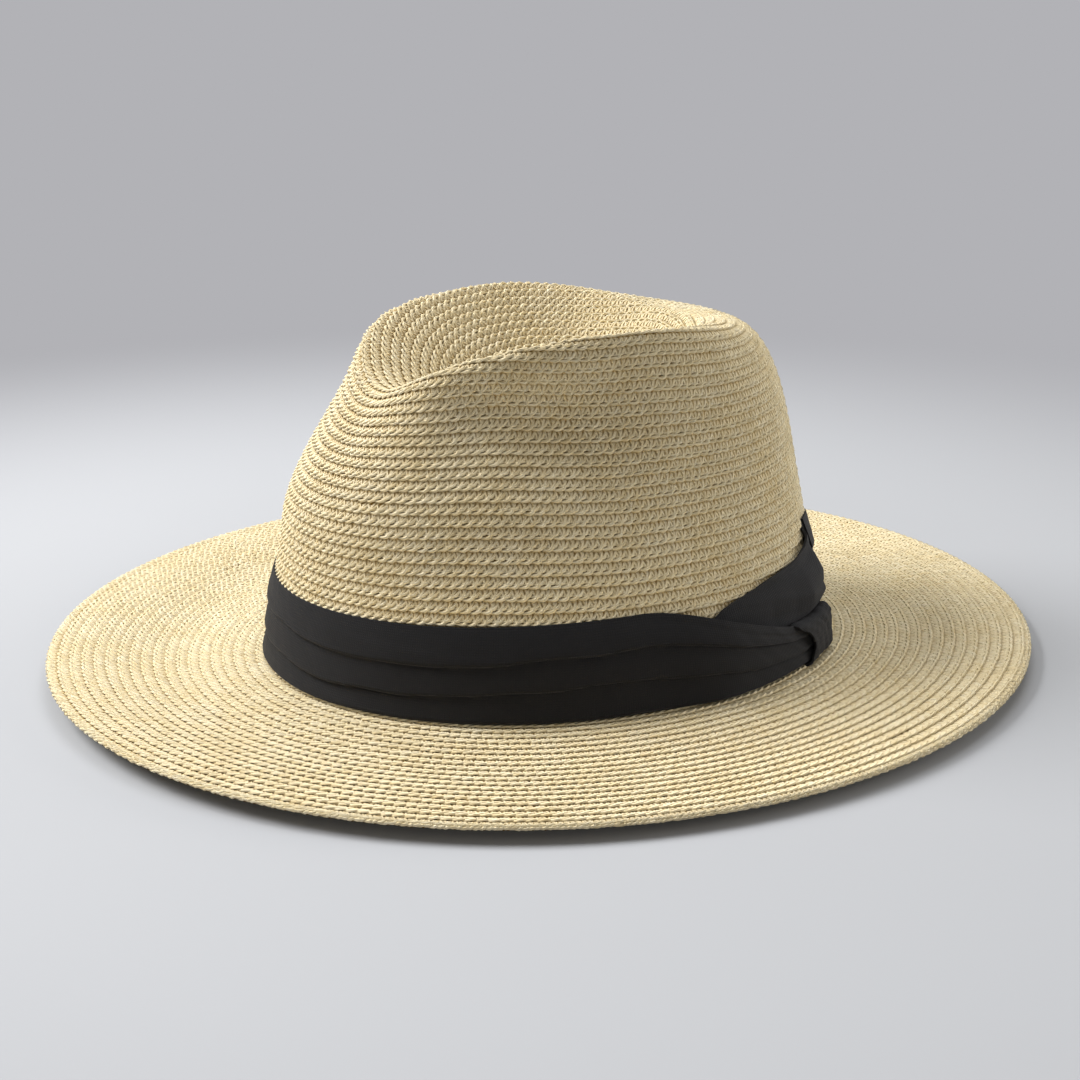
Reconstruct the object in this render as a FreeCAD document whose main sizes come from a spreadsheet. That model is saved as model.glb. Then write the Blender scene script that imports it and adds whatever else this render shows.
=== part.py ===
import FreeCAD, Part

import math
import os

import Sketcher

# Straw sun hat with a creased teardrop crown and a wide, nearly flat brim.
# +Z is up and z = 0 is the surface that the hat stands on. The front of the hat points to -Y,
# and +X is the wearer's left. A "turn" is the angle round the hat: 0 at the front, growing
# towards the wearer's left, 180 at the back.

doc = FreeCAD.newDocument("StrawSunHat")
sheet = doc.addObject("Spreadsheet::Sheet", "Dimensions")

DIMENSIONS = [
    ("opening_half_length", 100.0),    # oval of the head opening, front to back
    ("opening_half_width", 84.0),
    ("braid_thickness", 1.8),          # sewn straw braid, two layers where the rows lap
    ("brim_width", 71.5),              # from the crown to the brim's free edge
    ("brim_flat_share", 0.35),         # inner part of the brim that lies flat
    ("brim_edge_rise", 4.7),           # height of the edge over the flat part, all round
    ("brim_front_rise", 1.6),          # further rise at the front
    ("crown_height", 115.6),           # highest point of the ridges over the brim
    ("front_drop", 23.0),              # ridge height lost at the front
    ("front_drop_turn", 32.9),
    ("front_drop_round", 17.6),
    ("back_drop", 6.7),                # ridge height lost at the back
    ("ridge_front_share", 0.786),      # distance of the ridge from the middle over the oval's
    ("ridge_side_share", 0.86),
    ("ridge_back_share", 0.483),
    ("crown_taper", 0.124),
    ("shoulder_power", 3.73),
    ("side_hollow", 17.0),             # how far the sides lean in below the ridges
    ("side_hollow_start", 14.7),
    ("side_hollow_reach", 53.0),
    ("front_slant", 24.0),             # how far the front face leans back
    ("front_slant_start", 50.0),
    ("front_slant_reach", 60.0),
    ("front_slant_turn", 33.6),
    ("pinch_depth", 10.5),             # the two finger pinches, low beside the front of the ridges
    ("pinch_turn", 60.0),
    ("pinch_spread", 28.5),
    ("pinch_start", 58.0),
    ("pinch_reach", 31.0),
    ("pinch_release", 0.65),           # share of the depth given back up to the ridge
    ("pinch_release_reach", 20.0),
    ("dent_depth", 32.0),              # depth of the teardrop dent at its middle
    ("dent_middle_y", 8.0),
    ("floor_dip", 7.0),                # deeper place in the front half of the dent
    ("floor_dip_y", -14.0),
    ("floor_dip_length", 30.0),
    ("floor_dip_width", 26.0),
    ("edge_row_width", 6.5),           # last row of braid, turned under the edge
    ("edge_row_thickness", 1.4),
    ("edge_lip", 0.9),
    ("wire_radius", 0.5),
    ("wire_channel", 2.1),
    ("sleeve_radius", 0.95),
    ("sleeve_bore_radius", 0.7),
    ("sleeve_length", 12.0),
    ("fit_gap", 0.1),
    ("ribbon_gap", 0.3),
    ("band_foot", 0.4),                # gap between the hat band and the brim
    ("band_height", 31.5),
    ("band_front_loss", 2.0),          # how much lower the band is at the front
    ("band_thickness", 2.2),
    ("band_back_rise", 9.5),           # how much higher it is behind the loop
    ("band_back_rise_turn", 45.0),
    ("band_back_end", -216.0),         # turn of the seam behind the loop, going round the front
    ("band_tail_end", 140.0),          # turn of the gathered end, inside the loop
    ("gather_start", 84.0),            # turn at which the band starts to gather
    ("gather_end", 129.0),
    ("tail_foot", 1.5),
    ("tail_top", 14.5),
    ("tail_inset", 3.5),               # distance of the gathered end from the crown
    ("tail_face", 6.5),
    ("lift_start", 84.0),              # turn at which the band climbs over its other end
    ("lift_turn", 20.0),
    ("underlap_start", 99.0),          # turn of the band's inner end, under the outer one
    ("underlap_end", 143.8),
    ("underlap_height", 41.0),
    ("underlap_start_loss", 13.0),
    ("underlap_thickness", 1.5),
    ("loop_start", 129.0),
    ("loop_end", 143.0),
    ("loop_thickness", 1.1),
    ("loop_hole_overrun", 2.0),        # turn by which the hole is cut past the loop's ends
    ("sweatband_height", 32.0),
    ("sweatband_thickness", 1.0),
    ("strap_radius", 65.6),            # outer face of the curved size strap, at its lower edge
    ("strap_lean", 1.5),               # how much less its radius is at the upper edge
    ("strap_thickness", 1.2),
    ("strap_height", 15.0),
    ("strap_base", 6.8),
    ("strap_half_angle", 24.0),
    ("strap_centre_y", 28.9),
    ("patch_gap", 0.45),               # between the sweatband and what is sewn on it
    ("pad_thickness", 0.6),
    ("pad_half_turn", 30.0),
    ("pad_foot", 4.0),
    ("pad_top", 22.0),
    ("label_start", -100.0),
    ("label_end", -84.0),
    ("label_foot", 6.0),
    ("label_top", 21.0),
    ("label_thickness", 0.4),
    ("thread_radius", 0.3),
    ("stitch_length", 3.2),
    ("edge_stitch_count", 120.0),
    ("edge_stitch_inset", 4.4),
    ("sweat_stitch_count", 96.0),
    ("sweat_stitch_height", 2.6),
    ("tack_height_below_top", 3.0),
]
for row, (alias, value) in enumerate(DIMENSIONS, start=1):
    sheet.set("A%d" % row, alias)
    sheet.set("B%d" % row, str(value))
    sheet.setAlias("B%d" % row, alias)
doc.recompute()


def cell(alias):
    """Value of one driving dimension, read from the sheet."""
    return float(sheet.get(alias))


# ---------------------------------------------------------------- shape of the hat

HALF_LENGTH = cell("opening_half_length")
HALF_WIDTH = cell("opening_half_width")
THICKNESS = cell("braid_thickness")
BRIM_WIDTH = cell("brim_width")
TURNS = 48
MERIDIAN_SAMPLES = 240
NORMAL_STEP = 0.002
FRONT_DROP_POWER = 1.4
DENT_EASE_SHARE = 0.1      # share of the dent's depth that starts and ends level
DIP_FADE = 2.5             # the floor's dip fades out over the last part before the ridge


def ease(x):
    """Smooth step from 0 to 1."""
    x = min(max(x, 0.0), 1.0)
    return x * x * (3.0 - 2.0 * x)


def oval(turn, outset, z):
    """Point on the head opening's oval, moved outwards in the plane."""
    x = HALF_WIDTH * math.sin(turn)
    y = -HALF_LENGTH * math.cos(turn)
    across = math.sin(turn) / HALF_WIDTH
    along = -math.cos(turn) / HALF_LENGTH
    size = math.hypot(across, along)
    return FreeCAD.Vector(x + outset * across / size, y + outset * along / size, z)


def signed_degrees(turn):
    """Angle from the front, -180 to 180."""
    return math.degrees(math.atan2(math.sin(turn), math.cos(turn)))


def ridge(turn):
    """Height of the ridge over the brim, and its distance from the middle as a share."""
    away = math.hypot(signed_degrees(turn), cell("front_drop_round")) - cell("front_drop_round")
    height = cell("crown_height")
    height -= cell("front_drop") * math.exp(-((away / cell("front_drop_turn")) ** FRONT_DROP_POWER))
    height -= cell("back_drop") * ease(-math.cos(turn))
    share = cell("ridge_side_share")
    end = cell("ridge_front_share") if math.cos(turn) > 0 else cell("ridge_back_share")
    share += (end - share) * math.cos(turn) ** 2
    return height, share


def side_point(turn, height):
    """Point on the crown's outer side at a height over the brim, up to the ridge."""
    top, ridge_share = ridge(turn)
    part = min(max(height / top, 0.0), 1.0)
    power = cell("shoulder_power")
    taper = cell("crown_taper")
    rounding = (1.0 - part ** power) ** (1.0 / power)
    share = ridge_share + (1.0 - taper - ridge_share) * rounding + taper * (1.0 - part)
    inset = cell("side_hollow") * math.sin(turn) ** 2
    inset *= ease((height - cell("side_hollow_start")) / cell("side_hollow_reach"))
    slant = cell("front_slant") * math.exp(-((signed_degrees(turn) / cell("front_slant_turn")) ** 2))
    inset += slant * ease((height - cell("front_slant_start")) / cell("front_slant_reach"))
    beside = abs(abs(signed_degrees(turn)) - cell("pinch_turn")) / cell("pinch_spread")
    deepest = cell("pinch_start") + cell("pinch_reach")
    pinch = ease((height - cell("pinch_start")) / cell("pinch_reach"))
    pinch *= 1.0 - cell("pinch_release") * ease((height - deepest) / cell("pinch_release_reach"))
    inset += cell("pinch_depth") * pinch * math.exp(-(beside ** 3))
    edge = oval(turn, 0.0, 0.0)
    outwards = oval(turn, 1.0, 0.0) - edge
    return edge * share - outwards * inset + FreeCAD.Vector(0, 0, THICKNESS + part * top)


def dent_point(turn, inwards):
    """Point in the dent: inwards is 0 on the ridge and 1 at the middle of the tip."""
    top = ridge(turn)[0]
    start = side_point(turn, top)
    swing = math.sin(inwards * math.pi / 2.0)
    swing += DENT_EASE_SHARE * (ease(inwards) - swing)
    x = start.x * (1.0 - inwards)
    y = start.y * (1.0 - inwards) + cell("dent_middle_y") * inwards
    z = top * (1.0 - swing) + (cell("crown_height") - cell("dent_depth")) * swing
    away = ((y - cell("floor_dip_y")) / cell("floor_dip_length")) ** 2
    away += (x / cell("floor_dip_width")) ** 2
    z -= cell("floor_dip") * math.exp(-away) * ease(DIP_FADE * inwards)
    return FreeCAD.Vector(x, y, THICKNESS + z)


def crown_point(turn, way):
    """Outer face of the crown: way is 0 at the brim, 1 on the ridge and 2 at the tip."""
    if way > 1.0:
        return dent_point(turn, min(way - 1.0, 1.0))
    climb = math.sin(max(way, 0.0) * math.pi / 2.0) ** (2.0 / cell("shoulder_power"))
    return side_point(turn, ridge(turn)[0] * climb)


def crown_normal(turn, way):
    """Outward unit normal of the crown's outer face."""
    way = min(max(way, NORMAL_STEP), 2.0 - 4.0 * NORMAL_STEP)
    up = crown_point(turn, way + NORMAL_STEP) - crown_point(turn, way - NORMAL_STEP)
    round_ = crown_point(turn + NORMAL_STEP, way) - crown_point(turn - NORMAL_STEP, way)
    normal = round_.cross(up)
    return normal.normalize()


def spaced_ways(turn, first, last, count):
    """Ways that divide the meridian from first to last into equal lengths."""
    ways = [first + (last - first) * i / MERIDIAN_SAMPLES for i in range(MERIDIAN_SAMPLES + 1)]
    points = [crown_point(turn, way) for way in ways]
    run = [0.0]
    for before, after in zip(points, points[1:]):
        run.append(run[-1] + (after - before).Length)
    picked = []
    index = 0
    for step in range(count):
        target = run[-1] * step / (count - 1)
        while index < MERIDIAN_SAMPLES - 1 and run[index + 1] < target:
            index += 1
        share = (target - run[index]) / (run[index + 1] - run[index])
        picked.append(ways[index] + share * (ways[index + 1] - ways[index]))
    return picked


def brim_rise(turn, outset):
    """Height of the brim's underside over the table."""
    forward = (1.0 + math.cos(turn)) / 2.0
    rise = cell("brim_edge_rise") + cell("brim_front_rise") * forward ** 2
    flat = cell("brim_flat_share")
    return rise * ease((outset / BRIM_WIDTH - flat) / (1.0 - flat))


def side_wall(turn, height, outset):
    """Point beside the crown's side, for what is wrapped round it or lines it."""
    point = side_point(turn, height)
    outwards = oval(turn, 1.0, 0.0) - oval(turn, 0.0, 0.0)
    return point + outwards * outset


# ---------------------------------------------------------------- solids from rings of points

def spline_face(net, closed):
    """Face through rings of poles, cubic along both ways where there are enough rings."""
    around = len(net[0])
    rings = len(net)
    across_degree = min(3, rings - 1)
    if closed:
        around_knots = list(range(around + 1))
        around_mults = [1] * (around + 1)
    else:
        around_knots = list(range(around - 2))
        around_mults = [4] + [1] * (around - 4) + [4]
    spans = rings - across_degree
    across_knots = list(range(spans + 1))
    across_mults = [across_degree + 1] + [1] * (spans - 1) + [across_degree + 1]
    poles = [[net[ring][place] for ring in range(rings)] for place in range(around)]
    surface = Part.BSplineSurface()
    surface.buildFromPolesMultsKnots(
        poles, around_mults, across_mults, around_knots, across_knots,
        closed, False, 3, across_degree)
    return surface.toShape()


def ring_edge(ring):
    """Closed cubic curve whose poles are a ring."""
    curve = Part.BSplineCurve()
    around = len(ring)
    curve.buildFromPolesMultsKnots(ring, [1] * (around + 1), list(range(around + 1)), True, 3)
    return curve.toShape()


def level_face(outer, inner):
    """Plane face between two level rings."""
    wires = [Part.Wire([ring_edge(ring)]) for ring in (outer, inner)]
    return Part.makeFace(wires, "Part::FaceMakerBullseye")


def ring_place(ring, index):
    """Point of a ring's curve beside one of its poles."""
    before, after = ring[index - 1], ring[(index + 1) % len(ring)]
    return (before + ring[index] * 4.0 + after) / 6.0


def sewn_solid(faces):
    """Closed solid from faces that share their borders."""
    shell = Part.Shell(faces)
    shell.sewShape()
    solid = Part.makeSolid(Part.Shell(shell.Faces))
    if solid.Volume < 0:
        solid.reverse()
    return solid


def ring_solid(outline):
    """Solid of an outline of rings that runs round its section and closes on itself."""
    faces = [spline_face([near, far], True) for near, far in zip(outline, outline[1:] + outline[:1])]
    return sewn_solid(faces)


def wall_solid(outer, inner, closed):
    """Solid between two nets of rings, with walls round its borders."""
    faces = [spline_face(outer, closed), spline_face(inner, closed)]
    faces.append(spline_face([outer[0], inner[0]], closed))
    if (outer[-1][0] - outer[-1][len(outer[-1]) // 2]).Length > 0.01:
        faces.append(spline_face([outer[-1], inner[-1]], closed))
    if not closed:
        for end in (0, -1):
            border = [[ring[end] for ring in net] for net in (outer, inner)]
            faces.append(edge_face(border[0], border[1]))
    return sewn_solid(faces)


def edge_face(near, far):
    """Ruled face between two borders that have the same poles along them."""
    degree = min(3, len(near) - 1)
    spans = len(near) - degree
    mults = [degree + 1] + [1] * (spans - 1) + [degree + 1]
    surface = Part.BSplineSurface()
    surface.buildFromPolesMultsKnots(
        [near, far], [2, 2], mults, [0, 1], list(range(spans + 1)), False, False, 1, degree)
    return surface.toShape()


def full_turns(count=TURNS):
    """Turns of a full ring, in radians."""
    return [2.0 * math.pi * i / count for i in range(count)]


def turns_between(first, last, count):
    """Turns of an arc given in degrees, in radians."""
    return [math.radians(first + (last - first) * i / (count - 1)) for i in range(count)]


def add_shape(name, shape):
    """Named sub-part of a shape made by these functions, with its own placement."""
    part = doc.addObject("Part::Feature", name)
    part.Label = name
    part.Shape = shape
    part.Placement = FreeCAD.Placement()
    return part


# ---------------------------------------------------------------- straw braid

def crown_shell(first, last, rings, turns):
    """Shell of the crown between two ways, one braid thick."""
    ways = [spaced_ways(turn, first, last, rings) for turn in turns]
    outer = []
    inner = []
    for ring in range(rings):
        points = [crown_point(turn, ways[i][ring]) for i, turn in enumerate(turns)]
        normals = [crown_normal(turn, ways[i][ring]) for i, turn in enumerate(turns)]
        outer.append(points)
        inner.append([point - normal * THICKNESS for point, normal in zip(points, normals)])
    return outer, inner


def level_side_ends(outer, inner):
    """Puts the foot of the inner face straight inside the foot of the outer face."""
    for i, point in enumerate(outer[0]):
        inner[0][i] = FreeCAD.Vector(inner[0][i].x, inner[0][i].y, point.z)


def make_crown_side():
    """Side of the crown, from the brim up to the ridge."""
    outer, inner = crown_shell(0.0, 1.0, 22, full_turns())
    level_side_ends(outer, inner)
    return wall_solid(outer, inner, True), outer[-1], inner[-1]


def make_crown_tip(outer_rim, inner_rim):
    """Tip of the crown, from the ridge down into the dent, closed at its middle."""
    outer, inner = crown_shell(1.0, 2.0, 14, full_turns())
    outer[0] = outer_rim
    inner[0] = inner_rim
    middle = FreeCAD.Vector(0.0, cell("dent_middle_y"), crown_point(0.0, 2.0).z)
    outer[-1] = [middle] * TURNS
    inner[-1] = [middle - FreeCAD.Vector(0, 0, THICKNESS)] * TURNS
    return wall_solid(outer, inner, True)


def brim_ring(outset, lift):
    """Ring of the brim at an outset from the opening, lifted over its underside."""
    return [oval(turn, outset, brim_rise(turn, outset) + lift) for turn in full_turns()]


def make_brim():
    """Brim, from under the crown's wall to the channel of the edge wire.

    The inner part of its underside is one plane face, which the hat stands on.
    """
    end = BRIM_WIDTH - cell("wire_channel")
    bend = BRIM_WIDTH * cell("brim_flat_share")
    steps = 13
    outsets = [-THICKNESS + (end + THICKNESS) * i / (steps - 1) for i in range(steps)]
    over = [brim_ring(outset, THICKNESS - cell("fit_gap") / 2.0) for outset in outsets]
    outer_outsets = [bend + (end - bend) * i / (steps - 1) for i in range(steps)]
    under = [brim_ring(outset, 0.0) for outset in outer_outsets]
    rim = brim_ring(-THICKNESS, 0.0)
    faces = [spline_face(over, True), spline_face(under, True), level_face(under[0], rim)]
    faces += [spline_face([over[0], rim], True), spline_face([over[-1], under[-1]], True)]
    return sewn_solid(faces)


def make_edge_row():
    """Last row of braid, turned under the brim round the wire."""
    gap = cell("fit_gap")
    inside = BRIM_WIDTH - cell("edge_row_width")
    lip = BRIM_WIDTH + cell("fit_gap")
    outside = lip + cell("edge_lip")
    foot = -gap - cell("edge_row_thickness")
    top = THICKNESS
    outline = [(inside, -gap), (lip, -gap), (lip, top), (outside, top), (outside, foot), (inside, foot)]
    return ring_solid([brim_ring(outset, lift) for outset, lift in outline])


def make_wire():
    """Round wire in the fold of the brim's edge."""
    outset = BRIM_WIDTH - cell("wire_channel") / 2.0
    radius = cell("wire_radius")
    corners = 8
    outline = []
    for i in range(corners):
        angle = 2.0 * math.pi * (i + 0.5) / corners
        lift = THICKNESS / 2.0 + radius * math.sin(angle)
        outline.append(brim_ring_level(outset + radius * math.cos(angle), outset, lift))
    return ring_solid(outline)


def brim_ring_level(outset, level_outset, lift):
    """Ring at one outset whose height is that of the brim at another."""
    return [oval(turn, outset, brim_rise(turn, level_outset) + lift) for turn in full_turns()]


# ---------------------------------------------------------------- hat band

def ramp(turn, first, last):
    """Smooth step of a turn in radians between two turns in degrees."""
    return ease((math.degrees(turn) - first) / (last - first))


def band_limits(turn):
    """Foot, top, inner outset and outer outset of the hat band at a turn."""
    gather = ramp(turn, cell("gather_start"), cell("gather_end"))
    lift = ramp(turn, cell("lift_start"), cell("lift_start") + cell("lift_turn"))
    forward = (1.0 + math.cos(turn)) / 2.0
    top = cell("band_height") - cell("band_front_loss") * forward ** 2
    rise_end = cell("band_back_end") + cell("band_back_rise_turn")
    top += cell("band_back_rise") * (1.0 - ramp(turn, cell("band_back_end"), rise_end))
    top += (cell("tail_top") - cell("band_height")) * gather
    foot = cell("band_foot") + (cell("tail_foot") - cell("band_foot")) * gather
    inner = cell("ribbon_gap") + (cell("tail_inset") - cell("ribbon_gap")) * lift
    face = cell("ribbon_gap") + cell("band_thickness")
    outer = face + (cell("tail_face") - face) * lift
    return foot, top, inner, outer


def underlap_limits(turn):
    """The same limits of the band's inner end, which lies under the gathered one."""
    share = ramp(turn, cell("underlap_start"), cell("underlap_end"))
    straight = (math.degrees(turn) - cell("underlap_start"))
    straight /= cell("underlap_end") - cell("underlap_start")
    top = cell("underlap_height") - cell("underlap_start_loss") * (1.0 - straight) ** 4
    inner = cell("ribbon_gap")
    outer = inner + cell("underlap_thickness") * (0.7 + 0.3 * share)
    return cell("band_foot"), top, inner, outer


def wrapped_solid(turns, limits, rings, closed=False):
    """Solid wrapped on the crown's side, from its limits at each turn."""
    outer = []
    inner = []
    for ring in range(rings):
        share = ring / (rings - 1)
        outer_ring = []
        inner_ring = []
        for turn in turns:
            foot, top, near, far = limits(turn)
            height = foot + (top - foot) * share
            outer_ring.append(side_wall(turn, height, far))
            inner_ring.append(side_wall(turn, height, near))
        outer.append(outer_ring)
        inner.append(inner_ring)
    return wall_solid(outer, inner, closed)


def constant_limits(foot, top, near, far):
    """Limits that are the same at every turn."""
    return lambda turn: (foot, top, near, far)


def make_hat_band():
    """Folded cloth band, once round the crown, gathered at its outer end."""
    turns = turns_between(cell("band_back_end"), cell("band_tail_end"), 84)
    return wrapped_solid(turns, band_limits, 6)


def make_underlap():
    """Inner end of the band, which fans out under the gathered end."""
    turns = turns_between(cell("underlap_start"), cell("underlap_end"), 14)
    return wrapped_solid(turns, underlap_limits, 6)


def make_loop():
    """Cloth loop round the gathered end of the band."""
    wall = cell("loop_thickness")
    play = cell("fit_gap")
    near = cell("tail_inset") - play
    far = cell("tail_face") + play
    foot = cell("tail_foot") - play
    top = cell("tail_top") + play
    turns = turns_between(cell("loop_start"), cell("loop_end"), 6)
    overrun = cell("loop_hole_overrun")
    hole_turns = turns_between(cell("loop_start") - overrun, cell("loop_end") + overrun, 6)
    body = wrapped_solid(turns, constant_limits(foot - wall, top + wall, near - wall, far + wall), 4)
    hole = wrapped_solid(hole_turns, constant_limits(foot, top, near, far), 4)
    return body.cut(hole)


# ---------------------------------------------------------------- inside of the crown

LINING_OUTSET = -THICKNESS - cell("ribbon_gap")


def make_sweatband():
    """Ribbon that lines the head opening."""
    far = LINING_OUTSET
    near = far - cell("sweatband_thickness")
    limits = constant_limits(0.0, cell("sweatband_height"), near, far)
    return wrapped_solid(full_turns(), limits, 6, closed=True)


def make_lining_patch(first, last, foot, top, thickness):
    """Thin patch sewn on the sweatband's inner face."""
    far = LINING_OUTSET - cell("sweatband_thickness") - cell("patch_gap")
    turns = turns_between(first, last, 10)
    return wrapped_solid(turns, constant_limits(foot, top, far - thickness, far), 4)


# ---------------------------------------------------------------- thread

def stitch(centre, direction):
    """One straight stitch of round thread."""
    start = centre - direction * (cell("stitch_length") / 2.0)
    return Part.makeCylinder(cell("thread_radius"), cell("stitch_length"), start, direction)


def stitches_round(count, point_at):
    """Stitches evenly spread round the hat, each along its own row."""
    row = []
    for i in range(int(count)):
        turn = 2.0 * math.pi * i / int(count)
        direction = point_at(turn + NORMAL_STEP) - point_at(turn - NORMAL_STEP)
        row.append(stitch(point_at(turn), direction.normalize()))
    return Part.makeCompound(row)


def edge_stitch_point(turn):
    """Place of the stitches that hold the turned row under the brim's edge."""
    outset = BRIM_WIDTH - cell("edge_stitch_inset")
    return oval(turn, outset, brim_rise(turn, outset) + THICKNESS)


def sweat_stitch_point(turn):
    """Place of the stitches along the foot of the sweatband."""
    return side_wall(turn, cell("sweat_stitch_height"), LINING_OUTSET - cell("sweatband_thickness"))


def make_band_tacks():
    """Short upright tacks that hold the band to the crown at the front, sides and back."""
    tacks = []
    for degrees in (-180.0, -135.0, -90.0, -45.0, 0.0, 45.0):
        turn = math.radians(degrees)
        top, outer = band_limits(turn)[1], band_limits(turn)[3]
        height = top - cell("tack_height_below_top")
        below = side_wall(turn, height - 1.0, outer)
        above = side_wall(turn, height + 1.0, outer)
        tacks.append(stitch(side_wall(turn, height, outer), (above - below).normalize()))
    return Part.makeCompound(tacks)


# ---------------------------------------------------------------- wire sleeve and size strap

def plane_of(body, role):
    """Origin plane of a body, found by its role."""
    return [item for item in body.Origin.OriginFeatures if item.Role == role][0]


def make_wire_sleeve():
    """Crimped tube that joins the two ends of the brim wire at the back."""
    body = doc.addObject("PartDesign::Body", "wire_sleeve")
    body.Label = "wire_sleeve"
    section = body.newObject("Sketcher::SketchObject", "SleeveSection")
    section.AttachmentSupport = [(plane_of(body, "YZ_Plane"), "")]
    section.MapMode = "FlatFace"
    centre = FreeCAD.Vector(0, 0, 0)
    upright = FreeCAD.Vector(0, 0, 1)
    for index, alias in enumerate(("sleeve_radius", "sleeve_bore_radius")):
        section.addGeometry(Part.Circle(centre, upright, cell(alias)), False)
        section.addConstraint(Sketcher.Constraint("Coincident", index, 3, -1, 1))
        number = section.addConstraint(Sketcher.Constraint("Radius", index, cell(alias)))
        section.renameConstraint(number, alias)
        section.setExpression("Constraints." + alias, "Dimensions." + alias)
    pad = body.newObject("PartDesign::Pad", "SleeveLength")
    pad.Profile = section
    pad.setExpression("Length", "Dimensions.sleeve_length")
    pad.Midplane = True
    middle_line = brim_ring(BRIM_WIDTH - cell("wire_channel") / 2.0, THICKNESS / 2.0)
    body.Placement = FreeCAD.Placement(ring_place(middle_line, TURNS // 2), FreeCAD.Rotation())
    return body


def make_size_strap():
    """Curved hook-and-loop strap that takes in the head opening at the back."""
    rims = []
    for name, inset in (("StrapOuter", "0 mm"), ("StrapInner", "Dimensions.strap_thickness * 1 mm")):
        rim = doc.addObject("Part::Cone", name)
        rim.setExpression("Radius1", "Dimensions.strap_radius * 1 mm - " + inset)
        rim.setExpression("Radius2", "(Dimensions.strap_radius - Dimensions.strap_lean) * 1 mm - " + inset)
        rim.setExpression("Height", "Dimensions.strap_height")
        rims.append(rim)
    rims[0].setExpression("Angle", "Dimensions.strap_half_angle * 2")
    strap = doc.addObject("Part::Cut", "size_strap")
    strap.Label = "size_strap"
    strap.Base, strap.Tool = rims
    strap.setExpression("Placement.Base.y", "Dimensions.strap_centre_y")
    strap.setExpression("Placement.Base.z", "Dimensions.strap_base")
    strap.Placement.Rotation = FreeCAD.Rotation(FreeCAD.Vector(0, 0, 1), 90.0 - cell("strap_half_angle"))
    return strap


# ---------------------------------------------------------------- assembly

side_shape, ridge_outer, ridge_inner = make_crown_side()
edge_stitch_row = stitches_round(cell("edge_stitch_count"), edge_stitch_point)
sweat_stitch_row = stitches_round(cell("sweat_stitch_count"), sweat_stitch_point)
pad_turn = cell("pad_half_turn")
sub_parts = [
    add_shape("crown_side_braid", side_shape),
    add_shape("crown_tip_braid", make_crown_tip(ridge_outer, ridge_inner)),
    add_shape("brim_braid", make_brim()),
    add_shape("brim_edge_braid", make_edge_row()),
    add_shape("brim_edge_stitches", edge_stitch_row),
    add_shape("brim_wire", make_wire()),
    make_wire_sleeve(),
    add_shape("hat_band", make_hat_band()),
    add_shape("hat_band_underlap", make_underlap()),
    add_shape("hat_band_loop", make_loop()),
    add_shape("hat_band_tacks", make_band_tacks()),
    add_shape("sweatband", make_sweatband()),
    add_shape("sweatband_stitches", sweat_stitch_row),
    add_shape("size_strap_pad", make_lining_patch(
        180.0 - pad_turn, 180.0 + pad_turn, cell("pad_foot"), cell("pad_top"), cell("pad_thickness"))),
    make_size_strap(),
    add_shape("care_label", make_lining_patch(
        cell("label_start"), cell("label_end"), cell("label_foot"), cell("label_top"),
        cell("label_thickness"))),
]
doc.recompute()

for item in doc.Objects:
    for state in ("Invalid", "Error"):
        if state in item.State:
            raise RuntimeError("%s is %s" % (item.Label, state))
for part in sub_parts:
    if part.Shape.isNull() or not part.Shape.isValid():
        raise RuntimeError("%s has no valid shape" % part.Label)

os.makedirs("parts", exist_ok=True)
for part in sub_parts:
    part.Shape.exportStep("parts/%s.step" % part.Label)
    box = part.Shape.BoundBox
    print("%-20s %9.0f mm3  x %.1f..%.1f  y %.1f..%.1f  z %.1f..%.1f" % (
        part.Label, part.Shape.Volume, box.XMin, box.XMax, box.YMin, box.YMax, box.ZMin, box.ZMax))
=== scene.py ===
"""Straw sun hat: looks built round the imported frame."""
import logging
import math
from contextlib import contextmanager
from dataclasses import dataclass
from enum import Enum
from typing import Iterator, Sequence

import bpy
import numpy as np
from mathutils import Matrix, Vector


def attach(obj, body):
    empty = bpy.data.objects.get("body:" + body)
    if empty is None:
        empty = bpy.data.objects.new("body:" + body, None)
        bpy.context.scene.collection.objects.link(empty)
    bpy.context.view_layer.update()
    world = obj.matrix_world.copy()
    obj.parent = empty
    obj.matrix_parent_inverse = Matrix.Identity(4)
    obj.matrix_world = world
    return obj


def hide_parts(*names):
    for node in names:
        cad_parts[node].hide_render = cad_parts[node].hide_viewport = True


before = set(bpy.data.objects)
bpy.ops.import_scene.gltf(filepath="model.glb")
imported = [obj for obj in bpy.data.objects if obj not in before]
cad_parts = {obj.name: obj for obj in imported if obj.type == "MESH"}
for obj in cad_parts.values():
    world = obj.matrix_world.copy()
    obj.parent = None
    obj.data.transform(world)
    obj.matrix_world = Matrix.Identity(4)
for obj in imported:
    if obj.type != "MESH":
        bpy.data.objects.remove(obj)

Material = bpy.types.Material
Piece = bpy.types.Object
Link = bpy.types.NodeSocket
Net = np.ndarray

LOG = logging.getLogger("straw_hat")
BODY = "hat"
STRAP_BODY = "strap"
MM = 0.001
WELD_REACH = 0.00002


# ---------------------------------------------------------------- shape of the hat

def ease(x: Net) -> Net:
    """Smooth step from 0 to 1."""
    x = np.clip(x, 0.0, 1.0)
    return x * x * (3.0 - 2.0 * x)


def signed_degrees(turn: Net) -> Net:
    """Angle from the front, -180 to 180."""
    return np.degrees(np.arctan2(np.sin(turn), np.cos(turn)))


def unit(vectors: Net) -> Net:
    """Vectors brought to length 1."""
    return vectors / np.maximum(np.linalg.norm(vectors, axis=-1, keepdims=True), 1e-12)


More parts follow.
